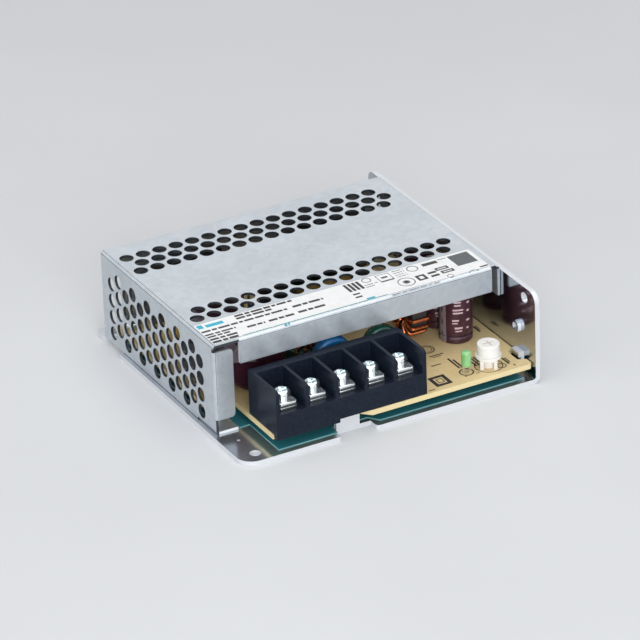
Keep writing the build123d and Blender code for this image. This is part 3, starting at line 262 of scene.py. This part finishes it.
# Circuit board: a beige paper-resin laminate that lies on the chassis's standoffs.
# The copper side underneath is lacquered green, and the sawn edge shows the bare fibre.
def board_finish():
    """Fibrous beige on top, lacquer underneath and a paler edge."""
    material, tree, shader = new_finish("beige_laminate", 0.42, coat=0.15)
    face_z = facing(tree)[2]
    fibres = (900, 1500, 900)
    fibre = noise(tree, place_of(tree, fibres), 1.0, 4.0)
    cloud = noise(tree, place_of(tree), 70)
    mixed = calc(tree, "ADD", calc(tree, "MULTIPLY", fibre, 0.5), calc(tree, "MULTIPLY", cloud, 0.5))
    top = ramp(tree, mixed, colour(212, 188, 136), colour(228, 206, 158))
    lacquer = colour(14, 128, 86)
    sawn = colour(226, 209, 160)
    painted = blend(tree, below(tree, face_z, -0.5), top, lacquer)
    side = below(tree, size_of(tree, face_z), 0.5)
    tree.links.new(blend(tree, side, painted, sawn), shader.inputs["Base Color"])
    relief(tree, shader, fibre, 0.01 * MM)
    return material


dress(board_finish(), "circuit_board")


# Print on the board: outlines of parts and dark marks, screened on the laminate in black ink.
# The ink lies on the board's top, two hundredths of a millimetre thick.
INK = 0.02


def empty_shape():
    return bmesh.new()


def add_block(shape, low, high):
    """Adds a box between two corners, in millimetres."""
    made = bmesh.ops.create_cube(shape, size=1.0)["verts"]
    size = [(h - l) * MM for l, h in zip(low, high)]
    centre = [(h + l) / 2 * MM for l, h in zip(low, high)]
    bmesh.ops.scale(shape, vec=size, verts=made)
    bmesh.ops.translate(shape, vec=centre, verts=made)


def move(shape, x=0.0, y=0.0, z=0.0):
    """Moves the whole shape, in millimetres."""
    bmesh.ops.translate(shape, vec=(x * MM, y * MM, z * MM), verts=shape.verts)


def turn(shape, degrees, axis):
    """Turns the whole shape about one of the scene's axes."""
    bmesh.ops.rotate(shape, matrix=Matrix.Rotation(math.radians(degrees), 3, axis), verts=shape.verts)


def join(shape, other):
    """Adds a copy of another shape to this one and frees the other."""
    passed = bpy.data.meshes.new("passed")
    other.to_mesh(passed)
    other.free()
    shape.from_mesh(passed)
    bpy.data.meshes.remove(passed)


def keep(shape, name, material, nodes=(), smooth=35):
    """Makes the finished shape a piece of the supply, in place of its CAD nodes if it has any."""
    mesh = bpy.data.meshes.new(name)
    shape.to_mesh(mesh)
    shape.free()
    mesh.materials.append(material)
    mesh.shade_smooth()
    mesh.set_sharp_from_angle(angle=math.radians(smooth))
    piece = bpy.data.objects.new(name, mesh)
    bpy.context.scene.collection.objects.link(piece)
    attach(piece, "supply")
    if nodes:
        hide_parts(*nodes)


def speckled(name, low, high, roughness, grain=400, metallic=0.0, coat=0.0, depth=0.01):
    """A plain coloured finish with a fine mottle and a slight unevenness."""
    material, tree, shader = new_finish(name, roughness, metallic, coat)
    mottle = noise(tree, place_of(tree), grain)
    tree.links.new(ramp(tree, mottle, colour(*low), colour(*high)), shader.inputs["Base Color"])
    tree.links.new(swing(tree, mottle, roughness * 0.85, roughness * 1.15), shader.inputs["Roughness"])
    relief(tree, shader, mottle, depth * MM)
    return material


def add_ring(shape, centre, radius, width, steps=40, start=0, sweep=360):
    """A printed ring or arc of short dashes that overlap a little."""
    dash_length = math.radians(sweep) * radius / steps * 1.05
    for i in range(steps):
        dash = empty_shape()
        add_block(dash, (-width / 2, -dash_length / 2, 0), (width / 2, dash_length / 2, INK))
        move(dash, radius)
        turn(dash, start + sweep * (i + 0.5) / steps, "Z")
        move(dash, *centre)
        join(shape, dash)


def add_frame(shape, x0, x1, y0, y1, z, width):
    """A printed outline between two corners."""
    add_block(shape, (x0, y0, z), (x1, y0 + width, z + INK))
    add_block(shape, (x0, y1 - width, z), (x1, y1, z + INK))
    add_block(shape, (x0, y0 + width, z), (x0 + width, y1 - width, z + INK))
    add_block(shape, (x1 - width, y0 + width, z), (x1, y1 - width, z + INK))


def middle_of(node):
    """The middle of a CAD node's box, in millimetres."""
    low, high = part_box(node)
    return (low + high) / 2 / MM


board_low, board_high = [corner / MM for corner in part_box("circuit_board")]
board_right, board_front, board_top = board_high.x, board_low.y, board_high.z
led = middle_of("status_led")
trimmer = middle_of("trimmer_body")

legend = empty_shape()
add_ring(legend, (led.x, led.y, board_top), 2.0, 0.42)
add_ring(legend, (trimmer.x, trimmer.y, board_top), 4.1, 0.28)
for left, right, front, back in ((2.0, 3.1, -2.3, -2.0), (-1.9, -1.1, -2.4, -2.1)):
    low = (led.x + left, led.y + front, board_top)
    high = (led.x + right, led.y + back, board_top + INK)
    add_block(legend, low, high)
for left, back, radius, width, steps in (
    (8.2, 3.6, 1.3, 0.3, 24),
    (21.8, 23.7, 2.3, 0.35, 40),
    (21.8, 23.7, 1.6, 0.2, 30),
):
    add_ring(legend, (board_right - left, board_front + back, board_top), radius, width, steps)
for left, right, front, back, width in ((30.5, 25.2, 2.2, 8.1, 1.15), (28.8, 26.8, 3.9, 6.3, 0.3)):
    x_range = (board_right - left, board_right - right)
    y_range = (board_front + front, board_front + back)
    add_frame(legend, *x_range, *y_range, board_top, width)
for left, right, front, back in (
    (19.6, 19.0, 8.7, 15.6),
    (18.6, 18.0, 8.5, 14.2),
    (23.3, 18.7, 19.0, 19.5),
    (22.7, 19.9, 18.2, 18.5),
    (14.8, 14.2, 7.2, 11.0),
    (13.8, 13.2, 7.4, 12.3),
    (12.9, 12.3, 9.2, 12.5),
    (11.8, 10.6, 11.0, 12.4),
    (6.1, 5.5, 3.4, 7.6),
    (5.3, 4.9, 4.2, 7.2),
    (5.0, 4.6, 1.6, 2.6),
    (3.2, 2.6, 25.0, 28.9),
    (2.4, 2.1, 26.0, 28.9),
    (25.7, 22.5, 13.7, 14.2),
    (33.7, 31.7, 1.2, 1.6),
):
    low = (board_right - left, board_front + front, board_top)
    high = (board_right - right, board_front + back, board_top + INK)
    add_block(legend, low, high)
black_ink = speckled("black_ink", (26, 24, 22), (44, 40, 36), 0.5)
keep(legend, "board_legend", black_ink)


# Board screws: three zinc-plated cross-drive screws into the chassis's standoffs.
# The plating is bright and slightly uneven.
zinc = speckled("bright_zinc", (196, 202, 208), (226, 230, 234), 0.22, metallic=1.0, depth=0.006)
dress(zinc, "board_screws")


# Terminal block: a moulded barrier strip of black thermoplastic with five open chambers.
# It is one moulding with softly rounded edges, soldered to the board by its contacts.
def softened(node, width):
    """A merged copy of a CAD node's mesh with its sharp edges rounded over."""
    flat = math.radians(1)
    sharp = math.radians(30)
    shape = empty_shape()
    shape.from_mesh(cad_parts[node].data)
    bmesh.ops.remove_doubles(shape, verts=shape.verts, dist=0.001 * MM)
    bmesh.ops.dissolve_limit(shape, angle_limit=flat, verts=shape.verts, edges=shape.edges)
    edges = [edge for edge in shape.edges if edge.is_manifold and edge.calc_face_angle() > sharp]
    bmesh.ops.bevel(
        shape,
        geom=edges,
        offset=width * MM,
        segments=2,
        profile=0.5,
        affect="EDGES",
        material=-1,
        clamp_overlap=True,
    )
    return shape


black_moulding = speckled("black_moulding", (18, 26, 38), (25, 34, 48), 0.34, grain=900)
moulding_shader = black_moulding.node_tree.nodes["Principled BSDF"]
moulding_shader.inputs["Specular IOR Level"].default_value = 0.16
block = softened("terminal_block", 0.18)
keep(block, "terminal_block_moulding", black_moulding, ["terminal_block"], smooth=15)


# Contacts and clamps: tinned strips fixed in the chambers and loose square plates above them.
# Each clamp is pinched down by its zinc-plated screw.
tin = speckled(
    "tinned_strip", (206, 214, 218), (236, 242, 244), 0.15, grain=260, metallic=0.9, depth=0.04
)
for number in range(1, 6):
    for part in (f"terminal_contact_{number}", f"terminal_clamp_{number}"):
        keep(softened(part, 0.16), f"{part}_strip", tin, [part])
screw_zinc = speckled(
    "clamp_screw_zinc", (206, 216, 220), (238, 244, 246), 0.11, grain=260, metallic=0.95, depth=0.05
)
dress(screw_zinc, "terminal_screws")


# Capacitors: rolled cans in shrunk dark sleeves with a pale stripe and short printed bars.
# The standing cans have a bare aluminium lid with a cross scored in it.
def dashes(tree, value, pitch, share):
    """1 on evenly spaced bars that fill the share of each pitch."""
    return below(tree, calc(tree, "FRACT", calc(tree, "DIVIDE", value, pitch)), share)


def sleeve_finish(node, lying, stripe_angle):
    """A printed sleeve round a can, which stands, or lies and points to the front."""
    low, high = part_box(node)
    half_length = (high.y - low.y if lying else high.z - low.z) / 2
    material, tree, shader = new_finish(f"{node}_sleeve", 0.34, coat=0.12)
    x, y, z = parts_of(tree, place_of(tree, offset=-(low + high) / 2))
    if lying:
        along = calc(tree, "MULTIPLY", y, -1.0)
        across = z
    else:
        along = z
        across = y
    angle = calc(tree, "ARCTAN2", x, calc(tree, "MULTIPLY", across, -1.0))
    mottle = noise(tree, place_of(tree), 300)
    sleeve = ramp(tree, mottle, colour(54, 24, 38), colour(70, 33, 50))
    stripe = near(tree, angle, stripe_angle, 0.3)
    dash = both(tree, near(tree, angle, stripe_angle, 0.05), dashes(tree, along, 4 * MM, 0.4))
    printed = blend(tree, stripe, sleeve, colour(128, 117, 126))
    printed = blend(tree, dash, printed, colour(48, 26, 38))
    bar_print = colour(212, 184, 194)
    for turned, half_width, height_share, thick_share in (
        (1.02, 0.22, 0.37, 0.025),
        (1.02, 0.20, 0.27, 0.025),
        (1.05, 0.32, 0.12, 0.025),
        (1.05, 0.30, 0.02, 0.025),
        (0.90, 0.20, -0.22, 0.025),
        (0.86, 0.16, -0.31, 0.02),
        (1.08, 0.24, -0.47, 0.03),
        (1.08, 0.20, -0.57, 0.02),
        (1.70, 0.12, -0.25, 0.03),
        (1.72, 0.10, 0.32, 0.03),
        (1.70, 0.09, 0.06, 0.03),
        (1.66, 0.08, -0.50, 0.03),
    ):
        around = near(tree, angle, stripe_angle + turned, half_width)
        level = near(tree, along, height_share * half_length, thick_share * half_length)
        printed = blend(tree, both(tree, around, level), printed, bar_print)
    if not lying:
        lid_radius = (high.x - low.x) / 2 - 1.15 * MM
        squared = calc(tree, "ADD", calc(tree, "POWER", x, 2.0), calc(tree, "POWER", y, 2.0))
        lid = both(tree, below(tree, squared, lid_radius ** 2), above(tree, z, half_length - 0.6 * MM))
        printed = blend(tree, lid, printed, colour(198, 201, 205))
        tree.links.new(lid, shader.inputs["Metallic"])
        score = either(tree, near(tree, x, 0.0, 0.2 * MM), near(tree, y, 0.0, 0.2 * MM))
        relief(tree, shader, outside(tree, both(tree, score, lid)), 0.15 * MM)
    tree.links.new(printed, shader.inputs["Base Color"])
    return material


dress(sleeve_finish("bulk_capacitor", True, -2.1), "bulk_capacitor")
for number in range(1, 4):
    output_can = f"output_capacitor_{number}"
    dress(sleeve_finish(output_can, False, -1.42), output_can)


# Disc parts: the varistor and the safety capacitor are dipped in blue epoxy, the inrush
# thermistor in green. Each stands on two tinned leads.
blue_epoxy = speckled("blue_epoxy", (4, 78, 128), (10, 94, 148), 0.4)
green_epoxy = speckled("green_epoxy", (10, 70, 60), (18, 88, 74), 0.25, coat=0.3)
dress(blue_epoxy, "varistor", "y_capacitor")
dress(green_epoxy, "inrush_thermistor")


# Chokes and transformer: painted and bare ferrite under enamelled copper wire and tape.
# The output choke stands on its rim, and the filter choke lies flat.
ferrite = speckled("dark_ferrite", (34, 34, 37), (48, 48, 52), 0.6)
ring_paint = speckled("ring_paint", (14, 60, 46), (22, 76, 60), 0.35)
tape = speckled("yellow_tape", (150, 122, 56), (168, 138, 66), 0.3, coat=0.2)
bobbin = speckled("black_bobbin", (28, 28, 31), (38, 38, 41), 0.45)
dress(ferrite, "transformer_core", "output_choke_core")
dress(ring_paint, "filter_choke_core")
dress(tape, "transformer_coil")
dress(bobbin, "transformer_bobbin")


# Windings: turns of thick enamelled wire, each drawn tight round a ring core.
# The turns touch in the core's bore and fan out on its rim.
WIRE_RADIUS = 0.55
CORE_ROUNDING = 0.5


def rounded_path(x0, x1, z0, z1, radius):
    """The points of a rectangle with rounded corners."""
    steps = 4
    points = []
    for x, z, start in ((x1, z1, 0), (x0, z1, 90), (x0, z0, 180), (x1, z0, 270)):
        centre_x = x - radius if x == x1 else x + radius
        centre_z = z - radius if z == z1 else z + radius
        for i in range(steps + 1):
            angle = math.radians(start + 90 * i / steps)
            points.append((centre_x + radius * math.cos(angle), centre_z + radius * math.sin(angle)))
    return points


def wire_loop(points, radius):
    """A closed loop of round wire along a path in X and Z, in millimetres."""
    shape = empty_shape()
    rings = []
    for i, (x, z) in enumerate(points):
        before = points[i - 1]
        after = points[(i + 1) % len(points)]
        run = Vector((after[0] - before[0], 0, after[1] - before[1])).normalized()
        outward = Vector((run.z, 0, -run.x))
        across = Matrix((outward, Vector((0, 1, 0)), run)).transposed().to_4x4()
        across.translation = Vector((x, 0, z)) * MM
        made = bmesh.ops.create_circle(shape, segments=10, radius=radius * MM, matrix=across)
        rings.append(list({edge for vert in made["verts"] for edge in vert.link_edges}))
    for i, ring_edges in enumerate(rings):
        bmesh.ops.bridge_loops(shape, edges=ring_edges + rings[(i + 1) % len(rings)])
    bmesh.ops.recalc_face_normals(shape, faces=shape.faces)
    return shape


def add_turns(shape, bore, rim, height, count, start, sweep):
    """Turns of wire round a ring core that lies flat on 0, spread over an angle in degrees."""
    inner, outer = bore - WIRE_RADIUS, rim + WIRE_RADIUS
    path = rounded_path(inner, outer, -WIRE_RADIUS, height + WIRE_RADIUS, CORE_ROUNDING + WIRE_RADIUS)
    loop = wire_loop(path, WIRE_RADIUS * 0.96)
    for i in range(count):
        coil = loop.copy()
        turn(coil, start + sweep * (i + 0.5) / count, "Z")
        join(shape, coil)
    loop.free()


# The filter choke's turns are coloured a darker copper than the output choke's.
dark_copper = speckled("darker_copper_turns", (98, 54, 38), (124, 72, 50), 0.26, grain=900, metallic=0.8)
filter_bore, filter_rim = 3.6, 7.0
filter_low, filter_high = [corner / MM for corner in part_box("filter_choke_core")]
filter_middle = middle_of("filter_choke_core")
for number, start in ((1, 25), (2, 205)):
    winding = empty_shape()
    add_turns(winding, filter_bore, filter_rim, filter_high.z - filter_low.z, 6, start, 130)
    move(winding, filter_middle.x, filter_middle.y, filter_low.z)
    wound = f"filter_choke_winding_{number}"
    keep(winding, f"filter_turns_{number}", dark_copper, [wound])

copper = speckled("enamelled_copper", (180, 98, 56), (208, 126, 80), 0.24, grain=900, metallic=0.9)
output_bore, output_rim = 3.4, 6.5
output_low, output_high = [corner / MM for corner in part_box("output_choke_core")]
output_middle = middle_of("output_choke_core")
winding = empty_shape()
add_turns(winding, output_bore, output_rim, output_high.x - output_low.x, 15, 10, 340)
turn(winding, 90, "Y")
move(winding, output_low.x, output_middle.y, output_middle.z)
keep(winding, "output_turns", copper, ["output_choke_winding"])


# Power parts at the back: two stamped heat sinks, each with a moulded transistor package.
# The bridge, the chips and the fuse are plain black mouldings, and the box capacitor is yellow.
# The heat sinks' aluminium is painted dark grey as painted shade, where they stand inside the closed
# case.
sink_metal = speckled("shaded_stamped_aluminium", (104, 108, 114), (124, 128, 134), 0.38, metallic=1.0)
package = speckled("moulded_package", (30, 30, 33), (42, 42, 45), 0.42)
case_yellow = speckled("yellow_case", (178, 148, 66), (194, 164, 78), 0.42)
grey_lacquer = speckled("grey_lacquer", (138, 150, 152), (156, 168, 170), 0.3, coat=0.3)
dress(sink_metal, "primary_heat_sink", "output_heat_sink")
dress(package, "switching_transistor", "output_rectifier", "bridge_rectifier")
dress(package, "optocoupler", "controller_chip", "fuse")
dress(case_yellow, "x_capacitor")
dress(grey_lacquer, "snubber_resistor")


# Status light: a 3 mm lamp cast in diffused green resin.
# Its two legs hold it off the board.
def lamp_finish():
    """Hazy green resin above bare tinned legs."""
    material, tree, shader = new_finish("green_resin", 0.28, coat=0.5)
    leg_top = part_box("status_led")[0].z + 2.3 * MM
    leg = below(tree, parts_of(tree, place_of(tree))[2], leg_top)
    haze = noise(tree, place_of(tree), 500)
    resin = ramp(tree, haze, colour(122, 188, 116), colour(144, 202, 138))
    tree.links.new(blend(tree, leg, resin, colour(206, 204, 190)), shader.inputs["Base Color"])
    tree.links.new(calc(tree, "MULTIPLY", leg, 0.7), shader.inputs["Metallic"])
    relief(tree, shader, haze, 0.01 * MM)
    return material


dress(lamp_finish(), "status_led")


# Output trimmer: a white moulded body on four feet, with a round knob that turns in it.
# Both are satin plastic, and a cross slot in the knob takes a screwdriver.
white_moulding = speckled("white_moulding", (229, 227, 222), (240, 238, 234), 0.4)
dress(white_moulding, "trimmer_body", "trimmer_rotor")


# Cover: one galvanised steel sheet, punched with round vents and folded on every side.
# The zinc has a faint flaky spangle, the cut edges are paler and the vents' rims are painted dark as
# painted shade inside the holes.
def vent_rim(tree, normal, in_sheet):
    """1 on the sheared rims of the vents, which stand square to the sheet and lie inside it."""
    return both(tree, below(tree, size_of(tree, normal), 0.35), in_sheet)


def cover_finish():
    """Spangled zinc, with the edges and the painted shade on the vents' rims found by where they lie
    and face.
    """
    material, tree, shader = new_finish("galvanised_sheet")
    low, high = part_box("cover")
    rim_depth = 0.85 * MM
    folds_left = low.x + 1.7 * MM
    folds_right = high.x - 2.85 * MM
    relief_top = low.z + 4.4 * MM
    face_x, face_y, face_z = facing(tree)
    x, _, z = parts_of(tree, place_of(tree))
    between = both(tree, above(tree, x, folds_left), below(tree, x, folds_right))
    ends = both(tree, between, above(tree, size_of(tree, face_x), 0.6))
    front = both(tree, below(tree, face_y, -0.7), below(tree, z, relief_top))
    bottom = below(tree, face_z, -0.98)
    top_rims = vent_rim(tree, face_z, above(tree, z, high.z - rim_depth))
    side_rims = vent_rim(tree, face_x, below(tree, x, low.x + rim_depth))
    rim_shade = either(tree, top_rims, side_rims)
    edge = both(tree, either(tree, either(tree, ends, front), bottom), outside(tree, rim_shade))

    flakes = tree.nodes.new("ShaderNodeTexVoronoi")
    flakes.inputs["Scale"].default_value = 650
    tree.links.new(place_of(tree), flakes.inputs["Vector"])
    flake = parts_of(tree, flakes.outputs["Color"])[0]
    cloud = noise(tree, place_of(tree), 90, 4.0)
    mixed = calc(tree, "ADD", calc(tree, "MULTIPLY", flake, 0.3), calc(tree, "MULTIPLY", cloud, 0.7))
    sheet = ramp(tree, mixed, colour(184, 192, 199), colour(196, 203, 210))
    # The vents' rims are painted dark grey as painted shade inside the holes.
    sheet = blend(tree, rim_shade, sheet, colour(74, 80, 88))
    cut_steel = colour(238, 241, 245)
    tree.links.new(blend(tree, edge, sheet, cut_steel), shader.inputs["Base Color"])
    tree.links.new(swing(tree, mixed, 0.32, 0.42), shader.inputs["Roughness"])
    shine = calc(tree, "SUBTRACT", 0.7, calc(tree, "MULTIPLY", edge, 0.5))
    tree.links.new(shine, shader.inputs["Metallic"])
    relief(tree, shader, cloud, 0.012 * MM)
    return material


dress(cover_finish(), "cover")
dress(zinc, "cover_screws")


# Rating label: a white satin film stuck on the cover behind the front fold.
# Its print is plain bars, frames and rings, measured from the film's front left corner, with a line of
# painted shade along the front edge.
# The few marks with a place below 0 lie past the film's front edge, over the fold.
label_low, label_high = [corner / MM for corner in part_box("rating_label")]
label_left, label_front, label_top = label_low.x, label_low.y, label_high.z
label_length = label_high.x - label_low.x
label_white = speckled("label_film", (236, 237, 238), (245, 246, 247), 0.4)
dress(label_white, "rating_label")


def add_mark(shape, x0, x1, y0, y1):
    """A printed field."""
    low = (label_left + x0, label_front + y0, label_top)
    high = (label_left + x1, label_front + y1, label_top + INK)
    add_block(shape, low, high)


def add_outline(shape, x0, x1, y0, y1, width):
    """A printed frame."""
    x_range = (label_left + x0, label_left + x1)
    y_range = (label_front + y0, label_front + y1)
    add_frame(shape, *x_range, *y_range, label_top, width)


def add_circle(shape, x, y, radius, width, steps, start=0, sweep=360):
    """A printed ring or arc."""
    centre = (label_left + x, label_front + y, label_top)
    add_ring(shape, centre, radius, width, steps, start, sweep)


def add_words(shape, x0, x1, y, height, lengths=(2.8, 1.6, 3.6, 2.2, 1.2, 3.0)):
    """A row of short bars in place of a line of small print."""
    gap = 0.45
    at = x0
    count = 0
    while at < x1:
        end = min(at + lengths[count % len(lengths)], x1)
        add_mark(shape, at, end, y - height / 2, y + height / 2)
        at = end + gap
        count += 1


def dark_print(shape):
    bolder = 1.35
    for x0, x1, y, height in (
        (12.7, 31.2, 11.8, 0.75),
        (12.5, 23.8, 10.2, 0.75),
        (0.2, 27.7, 7.9, 0.7),
        (29.6, 39.5, 8.1, 0.8),
        (0.1, 9.9, 5.7, 0.6),
        (0.1, 7.4, 4.3, 0.6),
        (12.8, 18.6, 4.1, 0.7),
        (19.8, 27.9, 4.1, 0.8),
        (29.4, 38.1, 4.3, 0.8),
        (0.1, 8.8, 2.6, 0.75),
        (0.1, 8.3, 0.9, 0.85),
        (47.9, 50.1, 5.3, 0.6),
        (47.7, 49.9, 3.4, 0.6),
        (87.6, 90.3, 1.1, 0.5),
    ):
        add_words(shape, x0, x1, y, height * bolder)
    for i in range(4):
        add_mark(shape, 48.0 + 1.35 * i, 48.9 + 1.35 * i, 7.2, 12.1)
    add_mark(shape, 73.8, 78.7, 10.0, 11.6)
    add_mark(shape, 58.7, 63.0, 7.7, 8.3)
    add_mark(shape, 72.7, 75.4, 2.8, 3.9)
    add_mark(shape, 72.7, 75.4, 4.9, 6.0)
    add_outline(shape, 68.5, 71.5, 2.7, 6.0, 0.8)
    add_outline(shape, 76.4, 80.5, 3.1, 4.8, 0.6)
    add_outline(shape, 75.7, 79.9, 5.5, 7.2, 0.6)


def grey_print_and_edge_shade(shape):
    for x0, x1, y, height in (
        (53.5, 57.8, 8.6, 0.3),
        (53.4, 56.3, 7.4, 0.3),
        (64.3, 67.9, 12.0, 0.3),
        (64.2, 67.8, 10.7, 0.3),
        (64.1, 67.7, 9.4, 0.25),
        (64.1, 67.7, 8.2, 0.25),
        (57.5, 73.2, -0.7, 0.28),
        (79.3, 82.1, 11.5, 0.35),
    ):
        add_words(shape, x0, x1, y, height)
    add_mark(shape, 59.9, 61.9, 9.7, 10.7)
    add_mark(shape, 82.6, 89.2, 4.9, 11.8)
    # This thin grey line along the film's front edge is painted shade at the edge, not print.
    add_mark(shape, 0.6, label_length - 0.6, 0.02, 0.16)
    add_outline(shape, 58.7, 63.1, 8.1, 12.3, 0.22)
    add_circle(shape, 55.5, 11.3, 1.3, 0.28, 24)
    add_circle(shape, 70.4, 10.6, 1.6, 0.3, 28)
    add_circle(shape, 64.9, 4.2, 2.5, 0.3, 36)
    add_circle(shape, 64.9, 4.2, 0.6, 1.1, 16)
    add_circle(shape, 77.6, 0.8, 0.9, 0.2, 18)
    add_circle(shape, 84.8, -1.5, 1.9, 0.25, 14, start=35, sweep=110)


def cyan_print(shape):
    add_mark(shape, 0.4, 2.1, 10.0, 12.2)
    add_mark(shape, 2.9, 8.5, 9.9, 11.5)
    add_mark(shape, 50.0, 52.7, 0.55, 1.45)
    add_words(shape, 22.5, 24.1, -0.5, 0.8, (0.7,))


def pale_print(shape):
    for x0, x1 in ((9.5, 13.4), (13.6, 18.9), (19.1, 27.6), (27.8, 37.5), (37.7, 46.7), (46.9, 56.4)):
        add_mark(shape, x0, x1, 0.14, 0.56)


def print_label(name, shade, draw):
    """One colour of the print, with any painted shade drawn in it, as a piece that lies on the film.
    """
    lighter = [value + 8 for value in shade]
    shape = empty_shape()
    draw(shape)
    keep(shape, name, speckled(name, shade, lighter, 0.45))


print_label("label_print_dark", (16, 16, 19), dark_print)
print_label("label_print_grey_and_edge_shade", (74, 78, 82), grey_print_and_edge_shade)
print_label("label_print_cyan", (30, 170, 196), cyan_print)
print_label("label_print_pale", (128, 176, 176), pale_print)


# Floor, light and camera: a plain pale floor, soft square lamps and a white world.
# The camera stands where the photograph was taken from, with its long lens.
def floor_finish():
    material, tree, shader = new_finish("pale_floor", 0.6)
    cloud = noise(tree, place_of(tree), 8)
    pale = ramp(tree, cloud, colour(212, 214, 217), colour(217, 219, 222))
    tree.links.new(pale, shader.inputs["Base Color"])
    return material


def seen_ray(tree):
    """1 for the rays that show a background: camera, glossy and transmission rays."""
    path = tree.nodes.new("ShaderNodeLightPath")
    seen = either(tree, path.outputs["Is Camera Ray"], path.outputs["Is Glossy Ray"])
    return either(tree, seen, path.outputs["Is Transmission Ray"])


def set_world(strength):
    """A white world that lights the object only at the given strength."""
    world = bpy.data.worlds.new("studio")
    bpy.context.scene.world = world
    world.use_nodes = True
    tree = world.node_tree
    sky = tree.nodes["Background"]
    seen = seen_ray(tree)
    lit = calc(tree, "MULTIPLY", outside(tree, seen), strength)
    tree.links.new(calc(tree, "ADD", seen, lit), sky.inputs["Strength"])
    sky.inputs["Color"].default_value = (1, 1, 1, 1)


def add_lamp(name, place, size, power):
    """A soft square lamp that points at the middle of the object."""
    data = bpy.data.lights.new(name, "AREA")
    data.energy = power
    data.size = size
    lamp = bpy.data.objects.new(name, data)
    lamp.location = place
    lamp.rotation_euler = (-Vector(place)).to_track_quat("-Z", "Y").to_euler()
    bpy.context.scene.collection.objects.link(lamp)


floor_shape = empty_shape()
bmesh.ops.create_grid(floor_shape, x_segments=1, y_segments=1, size=3.0)
floor_mesh = bpy.data.meshes.new("floor")
floor_shape.to_mesh(floor_mesh)
floor_shape.free()
floor_mesh.materials.append(floor_finish())
floor = bpy.data.objects.new("floor", floor_mesh)
floor.location.z = -0.02 * MM
bpy.context.scene.collection.objects.link(floor)

set_world(0.22)
add_lamp("key_lamp", (-0.18, -0.28, 1.05), 1.5, 7.8)
add_lamp("top_lamp", (0.25, 0.1, 1.0), 1.0, 2.4)
add_lamp("front_lamp", (-0.35, -1.1, 0.36), 0.7, 8.5)
add_lamp("side_lamp", (-1.0, 0.0, 0.5), 1.0, 2.4)

CAMERA_AZIMUTH = math.radians(-27.754)
CAMERA_ELEVATION = math.radians(27.637)
CAMERA_ROLL = math.radians(-2.1)
CAMERA_DISTANCE = 1430.0
CAMERA_RIGHT = 2.16
CAMERA_UP = 10.83
CAMERA_LENS = 274.0
outward = Vector((math.sin(CAMERA_AZIMUTH), -math.cos(CAMERA_AZIMUTH), 0.0))
back = math.cos(CAMERA_ELEVATION) * outward + Vector((0.0, 0.0, math.sin(CAMERA_ELEVATION)))
level = Vector((math.cos(CAMERA_AZIMUTH), math.sin(CAMERA_AZIMUTH), 0.0))
right = math.cos(CAMERA_ROLL) * level + math.sin(CAMERA_ROLL) * back.cross(level)
up = back.cross(right)
camera_data = bpy.data.cameras.new("camera")
camera_data.lens = CAMERA_LENS
camera_data.clip_start = 0.05
camera_data.clip_end = 20.0
camera = bpy.data.objects.new("camera", camera_data)
camera.matrix_world = Matrix((right, up, back)).transposed().to_4x4()
camera.location = (CAMERA_RIGHT * right + CAMERA_UP * up + CAMERA_DISTANCE * back) * MM
bpy.context.scene.collection.objects.link(camera)
bpy.context.scene.camera = camera
bpy.context.scene.view_settings.view_transform = "Standard"
